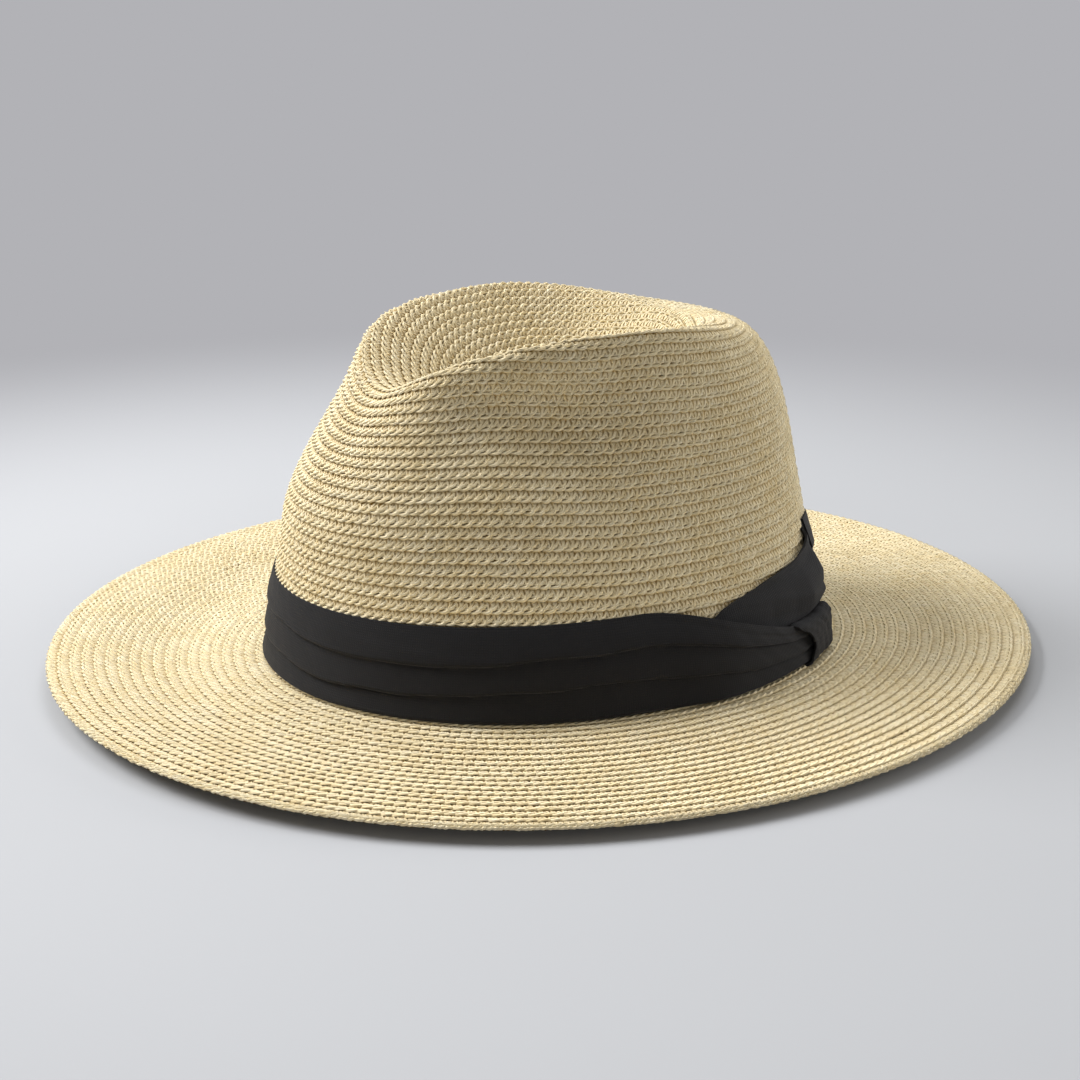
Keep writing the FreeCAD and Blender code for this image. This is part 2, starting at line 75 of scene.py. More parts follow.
@dataclass(frozen=True)
class HatShape:
    """Outer faces of crown and brim, in millimetres.

    A turn is the angle round the hat: 0 at the front, growing towards the wearer's left.
    """

    half_length: float = 100.0
    half_width: float = 84.0
    thickness: float = 1.8
    brim_width: float = 71.5
    brim_flat_share: float = 0.35
    brim_edge_rise: float = 4.7
    brim_front_rise: float = 1.6
    crown_height: float = 115.6
    front_drop: float = 23.0
    front_drop_turn: float = 32.9
    front_drop_round: float = 17.6
    back_drop: float = 6.7
    ridge_front: float = 0.786
    ridge_side: float = 0.86
    ridge_back: float = 0.483
    taper: float = 0.124
    power: float = 3.73
    hollow: float = 17.0
    hollow_start: float = 14.7
    hollow_reach: float = 53.0
    slant: float = 24.0
    slant_start: float = 50.0
    slant_reach: float = 60.0
    slant_turn: float = 33.6
    pinch: float = 10.5
    pinch_turn: float = 60.0
    pinch_spread: float = 28.5
    pinch_start: float = 58.0
    pinch_reach: float = 31.0
    pinch_release: float = 0.65
    pinch_release_reach: float = 20.0
    dent_depth: float = 32.0
    dent_y: float = 8.0
    dip: float = 7.0
    dip_y: float = -14.0
    dip_length: float = 30.0
    dip_width: float = 26.0
    near_drop: float = 2.2
    near_drop_turn: float = 62.0
    near_growth: float = 0.9
    near_growth_turn: float = 90.0
    near_spread: float = 60.0

    def outward(self, turn: Net) -> Net:
        """Level unit vector out of the head opening's oval."""
        across = np.sin(turn) / self.half_width
        along = -np.cos(turn) / self.half_length
        return unit(np.stack([across, along, 0.0 * across], -1))

    def oval(self, turn: Net, outset: Net, height: Net) -> Net:
        """Points beside the head opening's oval.

        Args:
            turn: angles round the hat.
            outset: distances out of the oval, in the plane.
            height: heights over the table.

        Returns:
            One point for each turn.
        """
        turn, outset, height = np.broadcast_arrays(turn, outset, height)
        x, y = self.half_width * np.sin(turn), -self.half_length * np.cos(turn)
        base = np.stack([x, y, height], -1)
        return base + outset[..., None] * self.outward(turn)

    def ridge(self, turn: Net) -> tuple[Net, Net]:
        """Height of the ridge over the brim, and its share of the oval's size."""
        away = np.hypot(signed_degrees(turn), self.front_drop_round) - self.front_drop_round
        height = self.crown_height
        height = height - self.front_drop * np.exp(-((away / self.front_drop_turn) ** 1.4))
        height = height - self.back_drop * ease(-np.cos(turn))
        end = np.where(np.cos(turn) > 0, self.ridge_front, self.ridge_back)
        return height, self.ridge_side + (end - self.ridge_side) * np.cos(turn) ** 2

    def side_point(self, turn: Net, height: Net) -> Net:
        """Points on the crown's outer side at heights over the brim."""
        top, ridge_share = self.ridge(turn)
        part = np.clip(height / top, 0.0, 1.0)
        rounding = (1.0 - part ** self.power) ** (1.0 / self.power)
        share = ridge_share + (1.0 - self.taper - ridge_share) * rounding
        share = share + self.taper * (1.0 - part)
        inset = self.hollow * np.sin(turn) ** 2
        inset = inset * ease((height - self.hollow_start) / self.hollow_reach)
        degrees = signed_degrees(turn)
        slant = self.slant * np.exp(-((degrees / self.slant_turn) ** 2))
        inset = inset + slant * ease((height - self.slant_start) / self.slant_reach)
        beside = np.abs(np.abs(degrees) - self.pinch_turn) / self.pinch_spread
        pinch = ease((height - self.pinch_start) / self.pinch_reach)
        past = (height - self.pinch_start - self.pinch_reach) / self.pinch_release_reach
        pinch = pinch * (1.0 - self.pinch_release * ease(past))
        inset = inset + self.pinch * pinch * np.exp(-(beside ** 3))
        point = self.oval(turn, 0.0, 0.0) * share[..., None] - self.outward(turn) * inset[..., None]
        point[..., 2] = self.thickness + part * top
        return point

    def dent_point(self, turn: Net, inwards: Net) -> Net:
        """Points in the dent: inwards is 0 on the ridge and 1 at the middle of the tip."""
        top = self.ridge(turn)[0]
        start = self.side_point(turn, top)
        swing = 0.1 * ease(inwards) + 0.9 * np.sin(inwards * math.pi / 2.0)
        x = start[..., 0] * (1.0 - inwards)
        y = start[..., 1] * (1.0 - inwards) + self.dent_y * inwards
        z = top * (1.0 - swing) + (self.crown_height - self.dent_depth) * swing
        away = ((y - self.dip_y) / self.dip_length) ** 2 + (x / self.dip_width) ** 2
        z = z - self.dip * np.exp(-away) * ease(2.5 * inwards)
        return np.stack([x, y, z + self.thickness], -1)

    def crown_point(self, turn: Net, way: Net) -> Net:
        """Outer face of the crown: way is 0 at the brim, 1 on the ridge and 2 at the tip."""
        climb = np.sin(np.clip(way, 0.0, 1.0) * math.pi / 2.0) ** (2.0 / self.power)
        side = self.side_point(turn, self.ridge(turn)[0] * climb)
        dent = self.dent_point(turn, np.clip(way - 1.0, 0.0, 1.0))
        return np.where((way > 1.0)[..., None], dent, side)

    def upturn(self, outset: Net) -> Net:
        """Share from 0 to 1 of the brim's rise at distances out of the oval."""
        past = outset / self.brim_width - self.brim_flat_share
        return ease(past / (1.0 - self.brim_flat_share))

    def brim_rise(self, turn: Net, outset: Net) -> Net:
        """Height of the brim's underside over the table."""
        forward = (1.0 + np.cos(turn)) / 2.0
        return (self.brim_edge_rise + self.brim_front_rise * forward ** 2) * self.upturn(outset)

    def near(self, turn: Net, middle: float) -> Net:
        """Share from 0 to 1 of what is changed beside one turn of the brim."""
        away = signed_degrees(turn - math.radians(middle)) / self.near_spread
        return np.exp(-(away ** 2))

    def brim_point(self, turn: Net, outset: Net, height: Net) -> Net:
        """Points over the brim's underside, as the straw lies on the table."""
        turn, outset, height = np.broadcast_arrays(turn, outset, height)
        part = self.upturn(outset)
        level = self.brim_rise(turn, np.minimum(outset, self.brim_width))
        level = level - self.near_drop * self.near(turn, self.near_drop_turn) * part
        grown = outset + self.near_growth * self.near(turn, self.near_growth_turn) * part
        return self.oval(turn, grown, level + height)

    def side_wall(self, turn: Net, height: Net, outset: Net) -> Net:
        """Points beside the crown's side, for what is wrapped round it or lines it."""
        turn, height, outset = np.broadcast_arrays(turn, height, outset)
        return self.side_point(turn, height) + self.outward(turn) * outset[..., None]


# ---------------------------------------------------------------- modelling helpers

def deselect() -> None:
    """Leaves nothing selected, in object mode."""
    if bpy.context.object is not None and bpy.context.object.mode != "OBJECT":
        bpy.ops.object.mode_set(mode="OBJECT")
    bpy.ops.object.select_all(action="DESELECT")


def make_active(piece: Piece) -> None:
    """Selects one object only and makes it active."""
    deselect()
    piece.select_set(True)
    bpy.context.view_layer.objects.active = piece


def name_new(name: str) -> Piece:
    """Names the primitive that was just added, and its mesh."""
    piece = bpy.context.object
    piece.name = name
    piece.data.name = name
    return piece


def settle(piece: Piece) -> None:
    """Puts an object's place, turn and size into its mesh."""
    make_active(piece)
    bpy.ops.object.transform_apply(location=True, rotation=True, scale=True)


def apply_all(piece: Piece) -> None:
    """Applies each modifier of a piece, in order."""
    make_active(piece)
    for modifier in list(piece.modifiers):
        bpy.ops.object.modifier_apply(modifier=modifier.name)


@contextmanager
def edit_mode(piece: Piece) -> Iterator[None]:
    """Edits the mesh of a piece, starting with all of it selected."""
    make_active(piece)
    bpy.ops.object.mode_set(mode="EDIT")
    bpy.ops.mesh.select_all(action="SELECT")
    yield
    bpy.ops.object.mode_set(mode="OBJECT")


def coordinates(piece: Piece) -> Net:
    """Vertex places of a piece, one row each."""
    values = np.empty(len(piece.data.vertices) * 3)
    piece.data.vertices.foreach_get("co", values)
    return values.reshape(-1, 3)


def set_coordinates(piece: Piece, places: Net) -> None:
    """Moves the vertices of a piece."""
    piece.data.vertices.foreach_set("co", np.ascontiguousarray(places, dtype=float).ravel())
    piece.data.update()


def flat_sheet(name: str, across: int, up: int,
               size: tuple[float, float]) -> tuple[Piece, Net, Net]:
    """Square sheet cut into a grid, with a UV map of its real size.

    Args:
        name: name of the piece.
        across: faces along the first way.
        up: faces along the second.
        size: length and height of the cloth in metres.

    Returns:
        The new object, and the shares of its length and of its height at each vertex.
    """
    deselect()
    bpy.ops.mesh.primitive_grid_add(
        x_subdivisions=across, y_subdivisions=up, size=1.0, location=(0.5, 0.5, 0.0), calc_uvs=True)
    piece = name_new(name)
    settle(piece)
    layer = piece.data.uv_layers.active
    values = np.empty(len(piece.data.loops) * 2)
    layer.data.foreach_get("uv", values)
    layer.data.foreach_set("uv", (values.reshape(-1, 2) * np.array(size)).ravel())
    shares = coordinates(piece)
    return piece, shares[:, 0], shares[:, 1]


def smooth(piece: Piece, angle: float = 40.0) -> None:
    """Shades a piece smooth, with edges sharper than an angle in degrees left crisp."""
    make_active(piece)
    bpy.ops.object.shade_smooth_by_angle(angle=math.radians(angle))


def cloth_solid(piece: Piece, finish: Material, thickness: float,
                offset: float = -1.0, closed: bool = False, rim: float = 0.0,
                angle: float = 60.0) -> None:
    """Makes a sheet a solid with a finish.

    Args:
        piece: the sheet.
        finish: its material.
        thickness: how thick it becomes, in millimetres.
        offset: where the sheet lies in the solid: -1 on its outer face, 0 in its middle.
        closed: whether its ends meet and are joined.
        rim: width of a rounded rim, in millimetres.
        angle: edges sharper than this stay crisp, in degrees.
    """
    if closed:
        weld = piece.modifiers.new("close_round", "WELD")
        weld.merge_threshold = WELD_REACH
    solid = piece.modifiers.new("cloth_thickness", "SOLIDIFY")
    solid.thickness = thickness * MM
    solid.offset = offset
    if rim:
        edge = piece.modifiers.new("rounded_rim", "BEVEL")
        edge.width = rim * MM
        edge.segments = 2
    apply_all(piece)
    smooth(piece, angle)
    dress(piece, finish)


def dress(piece: Piece, material: Material) -> None:
    """Gives a piece one material on all its faces."""
    piece.data.materials.clear()
    piece.data.materials.append(material)


def register(piece: Piece, node: str, body: str = BODY) -> None:
    """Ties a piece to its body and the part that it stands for."""
    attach(piece, body)
    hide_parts(node)
    LOG.info("%s: %d faces", piece.name, len(piece.data.polygons))


def wave(at: Net, seed: int, count: int = 4, base: float = 1.0) -> Net:
    """Smooth seeded wobble of about -1 to 1 along one way.

    Args:
        at: where it is read.
        seed: which wobble.
        count: how many waves are added up.
        base: waves in one unit of the first.

    Returns:
        One value for each place.
    """
    draw = np.random.default_rng(seed)
    total = np.zeros_like(np.asarray(at, dtype=float))
    for step in range(count):
        rate = base * (1.0 + step * 0.83 + 0.4 * draw.random())
        total += np.sin(2.0 * math.pi * (rate * at + draw.random())) / (1.0 + 0.5 * step)
    return total / 1.9


# ---------------------------------------------------------------- finishes

class Socket(Enum):
    """Names of the shader sockets that the finishes set."""

    COLOUR = "Base Color"
    ROUGHNESS = "Roughness"
    METALLIC = "Metallic"
    SPECULAR = "Specular IOR Level"
    SHEEN = "Sheen Weight"
    SHEEN_ROUGHNESS = "Sheen Roughness"
    SHEEN_TINT = "Sheen Tint"
    NORMAL = "Normal"


class NodeSheet:
    """A new material and short ways to add nodes to it."""

    def __init__(self, name: str) -> None:
        """Starts a material with its shader and output."""
        self.material = bpy.data.materials.new(name)
        self.material.use_nodes = True
        self.tree = self.material.node_tree
        self.shader = self.tree.nodes["Principled BSDF"]
        self.coordinates = self.tree.nodes.new("ShaderNodeTexCoord")

    def set(self, **values: float | tuple) -> None:
        """Sets sockets of the shader by the names of Socket."""
        for key, value in values.items():
            self.shader.inputs[Socket[key].value].default_value = value

    def link(self, output: Link, target: Socket) -> None:
        """Links an output to a socket of the shader."""
        self.tree.links.new(output, self.shader.inputs[target.value])

    def node(self, kind: str, inputs: dict, **settings: str) -> bpy.types.Node:
        """Adds a node: an output is linked to its input, any other value is put into it."""
        node = self.tree.nodes.new("ShaderNode" + kind)
        for key, value in settings.items():
            setattr(node, key, value)
        for key, value in inputs.items():
            if isinstance(value, Link):
                self.tree.links.new(value, node.inputs[key])
            else:
                node.inputs[key].default_value = value
        return node

    def scaled(self, source: str, *scale: float) -> Link:
        """Coordinates of a source, stretched by a scale for each way."""
        place = self.coordinates.outputs[source]
        inputs = {"Scale": scale or (1.0, 1.0, 1.0), "Vector": place}
        return self.node("Mapping", inputs).outputs["Vector"]

    def noise(self, vector: Link, scale: float, detail: float = 2.0,
              roughness: float = 0.5) -> Link:
        """Noise read at a vector."""
        return self.node("TexNoise", {"Vector": vector, "Scale": scale, "Detail": detail,
                                      "Roughness": roughness}).outputs["Fac"]

    def waves(self, vector: Link, scale: float, direction: str = "X",
              distortion: float = 0.0) -> Link:
        """Even bands along one way."""
        return self.node("TexWave", {"Vector": vector, "Scale": scale, "Distortion": distortion,
                                     "Detail Scale": 2.0}, bands_direction=direction).outputs["Fac"]

    def attribute(self, name: str) -> Link:
        """Value of a piece's own attribute."""
        return self.node("Attribute", {}, attribute_name=name).outputs["Fac"]

    def ramp(self, value: Link, stops: Sequence[tuple[float, tuple]]) -> Link:
        """Colours picked by a value, from stops of place and colour."""
        node = self.node("ValToRGB", {"Fac": value})
        while len(node.color_ramp.elements) < len(stops):
            node.color_ramp.elements.new(0.5)
        for element, (place, colour) in zip(node.color_ramp.elements, stops):
            element.position = place
            element.color = (*colour[:3], 1.0)
        return node.outputs["Color"]

    def multiplied(self, share: float, first: Link, second: Link) -> Link:
        """A colour darkened by another, by a share."""
        return self.node("Mix", {0: share, 6: first, 7: second}, data_type="RGBA",
                         blend_type="MULTIPLY").outputs[2]

    def maths(self, operation: str, first: Link, second: Link) -> Link:
        """Arithmetic on two values."""
        return self.node("Math", {0: first, 1: second}, operation=operation).outputs[0]

    def span(self, value: Link, low: float, high: float) -> Link:
        """A value from 0 to 1 brought to a span."""
        inputs = {"Value": value, "To Min": low, "To Max": high}
        return self.node("MapRange", inputs).outputs["Result"]

    def bump(self, height: Link, depth: float, strength: float = 1.0,
             under: Link | None = None) -> Link:
        """Relief of a height, over another relief if one is given."""
        inputs = {"Height": height, "Distance": depth, "Strength": strength}
        if under is not None:
            inputs["Normal"] = under
        return self.node("Bump", inputs).outputs["Normal"]


@dataclass(frozen=True)
class StrawFinish:
    """Natural paper straw with fibres along each strand, a tone for each strand and painted shade.
    """

    dark: tuple = (0.82, 0.68, 0.40)
    middle: tuple = (0.93, 0.83, 0.59)
    pale: tuple = (1.0, 0.95, 0.79)
    # colours of painted shade, multiplied into the straw where the open attribute is low
    shaded: tuple = (0.17, 0.10, 0.022)
    half_shaded: tuple = (0.52, 0.41, 0.22)
    fibre_depth: float = 0.0001
    creases: float = 5.0
    crease_depth: float = 0.0002

    def material(self) -> Material:
        """Builds the material."""
        sheet = NodeSheet("straw")
        sheet.set(ROUGHNESS=0.58, SPECULAR=0.06)
        fibres = sheet.noise(sheet.scaled("UV", 90.0, 9.0, 1.0), 1.0, 3.0, 0.6)
        patches = sheet.noise(sheet.scaled("Object"), 55.0, 2.0)
        tone = sheet.maths("ADD", sheet.span(sheet.attribute("tone"), 0.0, 0.62),
                           sheet.span(patches, -0.12, 0.28))
        colour = sheet.ramp(tone, [(0.0, self.dark), (0.45, self.middle), (1.0, self.pale)])
        creases = sheet.waves(sheet.scaled("UV", 40.0, 1.0, 1.0), self.creases * 0.314, "Y", 1.2)
        lines = sheet.maths("MULTIPLY", sheet.span(fibres, 0.45, 1.0),
                            sheet.span(creases, 0.35, 1.0))
        # fibre grain darkens the straw in streaks, and painted shade darkens it along the
        # lengthwise creases
        fibre_and_crease_shade = sheet.ramp(lines, [(0.22, (0.74, 0.67, 0.55)), (0.55, (1.0, 1.0, 1.0))])
        straw = sheet.multiplied(0.8, colour, fibre_and_crease_shade)
        # painted shade: the open attribute darkens the straw in the gaps between cords, where cords
        # pass under, and below each row's lapped edge
        shade = sheet.ramp(sheet.attribute("open"),
                           [(0.0, self.shaded), (0.4, self.half_shaded), (1.0, (1.0, 1.0, 1.0))])
        sheet.link(sheet.multiplied(1.0, straw, shade), Socket.COLOUR)
        sheet.link(sheet.span(fibres, 0.48, 0.72), Socket.ROUGHNESS)
        relief = sheet.bump(creases, self.crease_depth, 0.8)
        sheet.link(sheet.bump(fibres, self.fibre_depth, 0.9, relief), Socket.NORMAL)
        return sheet.material


@dataclass(frozen=True)
class ClothFinish:
    """Plain woven cloth, threads crossing at a spacing."""

    name: str
    colour: tuple
    light: tuple
    threads: float = 2600.0
    roughness: float = 0.85
    sheen: float = 0.25
    sheen_tint: tuple = (0.5, 0.55, 0.7, 1.0)
    relief: float = 0.00012

    def material(self) -> Material:
        """Builds the material."""
        sheet = NodeSheet(self.name)
        sheet.set(ROUGHNESS=self.roughness, SPECULAR=0.3, SHEEN=self.sheen, SHEEN_ROUGHNESS=0.45,
                  SHEEN_TINT=self.sheen_tint)
        place = sheet.scaled("UV", self.threads, self.threads, self.threads)
        warp = sheet.waves(place, 0.16, "X", 0.6)
        weft = sheet.waves(place, 0.16, "Y", 0.6)
        weave = sheet.maths("MULTIPLY", warp, weft)
        cloud = sheet.noise(sheet.scaled("Object"), 90.0, 3.0)
        tone = sheet.maths("ADD", sheet.span(weave, 0.0, 0.7), sheet.span(cloud, -0.2, 0.4))
        sheet.link(sheet.ramp(tone, [(0.0, self.colour), (1.0, self.light)]), Socket.COLOUR)
        relief = sheet.bump(weave, self.relief, 0.7)
        sheet.link(sheet.bump(cloud, self.relief * 3.0, 0.35, relief), Socket.NORMAL)
        return sheet.material


@dataclass(frozen=True)
class RibbonFinish:
    """Ribbed ribbon, ribs across its length, with painted shade in the grooves between them."""

    name: str
    colour: tuple
    groove_shade: tuple
    rib: float = 0.0011

    def material(self) -> Material:
        """Builds the material."""
        sheet = NodeSheet(self.name)
        sheet.set(ROUGHNESS=0.6, SPECULAR=0.35, SHEEN=0.2)
        ribs = sheet.waves(sheet.scaled("UV"), 0.314 / self.rib, "X", 0.25)
        # painted shade: the grooves between ribs take the darker colour
        sheet.link(sheet.ramp(ribs, [(0.0, self.groove_shade), (0.45, self.colour)]), Socket.COLOUR)
        sheet.link(sheet.span(ribs, 0.72, 0.5), Socket.ROUGHNESS)
        sheet.link(sheet.bump(ribs, self.rib * 0.4, 0.8), Socket.NORMAL)
        return sheet.material


@dataclass(frozen=True)
class PileFinish:
    """Tape covered with small hooks or loops, with painted shade between them."""

    name: str
    colour: tuple
    deep_shade: tuple
    spacing: float = 0.0011

    def material(self) -> Material:
        """Builds the material."""
        sheet = NodeSheet(self.name)
        sheet.set(ROUGHNESS=0.8, SPECULAR=0.3, SHEEN=0.3)
        cells = sheet.node("TexVoronoi", {"Scale": 1.0 / self.spacing,
                                          "Vector": sheet.scaled("Object")})
        distance = cells.outputs["Distance"]
        # painted shade: the tape darkens between the hooks or loops, where its relief is low
        sheet.link(sheet.ramp(distance, [(0.1, self.colour), (0.75, self.deep_shade)]), Socket.COLOUR)
        relief = sheet.span(distance, 1.0, 0.0)
        sheet.link(sheet.bump(relief, self.spacing * 0.5, 0.8), Socket.NORMAL)
        return sheet.material


@dataclass(frozen=True)
class ThreadFinish:
    """Twisted sewing thread."""

    name: str
    colour: tuple
    shade: tuple

    def material(self) -> Material:
        """Builds the material."""
        sheet = NodeSheet(self.name)
        sheet.set(ROUGHNESS=0.6, SPECULAR=0.4, SHEEN=0.2)
        twist = sheet.waves(sheet.scaled("Object"), 700.0, "DIAGONAL", 1.0)
        sheet.link(sheet.ramp(twist, [(0.1, self.shade), (0.6, self.colour)]), Socket.COLOUR)
        sheet.link(sheet.bump(twist, 0.00008, 0.7), Socket.NORMAL)
        return sheet.material


@dataclass(frozen=True)
class MetalFinish:
    """Drawn or crimped metal with fine lines."""

    name: str
    colour: tuple
    roughness: float = 0.35

    def material(self) -> Material:
        """Builds the material."""
        sheet = NodeSheet(self.name)
        sheet.set(METALLIC=1.0)
        lines = sheet.noise(sheet.scaled("Object", 60.0, 60.0, 900.0), 3.0, 3.0)
        dull = tuple(part * 0.7 for part in self.colour)
        sheet.link(sheet.ramp(lines, [(0.3, dull), (0.6, self.colour)]), Socket.COLOUR)
        sheet.link(sheet.span(lines, self.roughness - 0.1, self.roughness + 0.15), Socket.ROUGHNESS)
        sheet.link(sheet.bump(lines, 0.00003, 0.4), Socket.NORMAL)
        return sheet.material


# ---------------------------------------------------------------- straw braid

@dataclass
class Rows:
    """A face that braid is laid on, measured in rows from where the braid starts."""

    places: Net
    normals: Net
    rows: float
    pitch: float

    def lay(self, turn: Net, row: Net, lift: Net) -> Net:
        """Points over the face.

        Args:
            turn: angles round the hat, any number of turns.
            row: rows from the start of the face.
            lift: heights over the face, in millimetres.

        Returns:
            One point for each turn.
        """
        around, along = self.places.shape[:2]
        column = (turn / (2.0 * math.pi)) % 1.0 * around
        line = np.clip(row / self.rows, 0.0, 1.0) * (along - 1)
        left = column.astype(int) % around
        low = np.minimum(line.astype(int), along - 2)
        side = (column - column.astype(int))[..., None]
        rise = (line - low)[..., None]
        right = (left + 1) % around

        def read(net: Net) -> Net:
            """Reads a net between its nearest four points."""
            near = net[left, low] * (1.0 - rise) + net[left, low + 1] * rise
            far = net[right, low] * (1.0 - rise) + net[right, low + 1] * rise
            return near * (1.0 - side) + far * side

        return read(self.places) + unit(read(self.normals)) * lift[..., None]


def blurred(net: Net, spread: float) -> Net:
    """A net smoothed along its second way, its borders kept."""
    reach = int(3 * spread)
    weights = np.exp(-0.5 * (np.arange(-reach, reach + 1) / spread) ** 2)
    weights /= weights.sum()
    before = 2 * net[:, :1] - net[:, reach:0:-1]
    after = 2 * net[:, -1:] - net[:, -2:-reach - 2:-1]
    padded = np.concatenate([before, net, after], axis=1)
    out = np.zeros_like(net)
    for step, weight in enumerate(weights):
        out += weight * padded[:, step:step + net.shape[1]]
    return out


def face_normals(places: Net) -> Net:
    """Outward normals of a net whose first way goes round the hat."""
    around = np.roll(places, -1, axis=0) - np.roll(places, 1, axis=0)
    along = np.gradient(places, axis=1)
    return unit(np.cross(along, around))


@dataclass(frozen=True)
class Cord:
    """One paper cord of a strand: how far it lags, and how far it swings to each edge."""

    lag: float
    outer: float
    inner: float


@dataclass(frozen=True)
class Wobble:
    """Unevenness along a cord: its size, its reach in millimetres and its share of the seed."""

    size: float
    reach: float
    seed: int
    count: int

    def at(self, along: Net, seed: int) -> Net:
        """The wobble at distances along the braid."""
        return self.size * wave(along / self.reach, seed + self.seed, self.count)


@dataclass(frozen=True)
class Braid:
    """Flat plait of three strands, each of two paper cords, and how its rows lap."""

    period: float = 9.6
    cords: tuple = (Cord(0.0, 2.45, 2.5), Cord(1.25, 1.45, 2.3))
    width: float = 1.75
    depth: float = 0.9
    over: float = 0.34
    steepness: float = 2.3
    tilt: float = 0.2
    sink: float = 0.65
    # painted shade across each row, darkest at lit_from and gone at lit_to
    lit_from: float = -1.0
    lit_to: float = 0.15
    width_wobble: Wobble = Wobble(0.05, 9.0, 0, 5)
    side_wobble: Wobble = Wobble(0.10, 60.0, 91, 4)
    lag_wobble: Wobble = Wobble(0.16, 11.0, 17, 5)
    lift_wobble: Wobble = Wobble(0.05, 6.0, 33, 5)
    long_tones: Wobble = Wobble(0.28, 37.0, 51, 5)
    short_tones: Wobble = Wobble(0.16, 4.0, 71, 4)
    rings: int = 12
    corners: int = 3

    def pattern(self, cord: Cord) -> Net:
        """Models one period of a cord and reads it back.

        A small ring is pushed along the cord's path with extrude, turn and move steps. The path
        swings from edge to edge of the braid, over its neighbours and back under them.

        Args:
            cord: which cord of the strand.

        Returns:
            Corners of each ring: along the braid, across it and over it.
        """
        deselect()
        bpy.ops.mesh.primitive_circle_add(vertices=self.corners, radius=0.5,
                                          location=(0.0, 0.0, 0.0),
                                          rotation=(0.0, math.pi / 2.0, 0.0))
        piece = name_new("cord_pattern")
        settle(piece)
        with edit_mode(piece):
            # one corner of the section points out of the hat
            bpy.ops.transform.rotate(value=-math.pi / 2.0, orient_axis="X",
                                     center_override=(0.0, 0.0, 0.0))
            bpy.ops.transform.resize(value=(1.0, self.width, self.depth))
            at = Vector((0.0, 0.0, 0.0))
            heading = 0.0
            for index in range(self.rings):
                spot, angle = self.path(cord, index / self.rings)
                move = {"value": spot - at}
                if index:
                    bpy.ops.mesh.extrude_region_move(TRANSFORM_OT_translate=move)
                else:
                    bpy.ops.transform.translate(**move)
                # upright axis through the middle of the ring
                bpy.ops.transform.rotate(value=-(angle - heading), orient_axis="Z",
                                         center_override=tuple(spot))
                at, heading = spot, angle
        net = coordinates(piece).reshape(self.rings, self.corners, 3)
        bpy.data.objects.remove(piece)
        return net

    def path(self, cord: Cord, share: float) -> tuple[Vector, float]:
        """Middle of the cord at a share of its period, and the turn of its section."""
        def across(at: float) -> float:
            """Place across the braid: steep legs, and runs along the edges."""
            swing = math.tanh(self.steepness * math.sin(2.0 * math.pi * at))
            swing = swing / math.tanh(self.steepness)
            return swing * (cord.outer if swing > 0.0 else cord.inner)

        step = 0.02
        slope = (across(share + step) - across(share - step)) / (2.0 * step * self.period)
        height = -self.over * math.sin(4.0 * math.pi * share)
        return Vector((share * self.period + cord.lag, across(share), height)), math.atan(slope)


@dataclass
class Length:
    """One length of braid on a face.

    It runs from one row to another, or once round one row as a closed ring. The last three values
    scale how far its cords rise, how much painted shade darkens its gaps and how wide its cords
    are.
    """

    face: Rows
    start: float
    end: float
    seed: int
    ring: float | None = None
    relief: float = 1.0
    shade: float = 1.0
    cord: float = 0.84


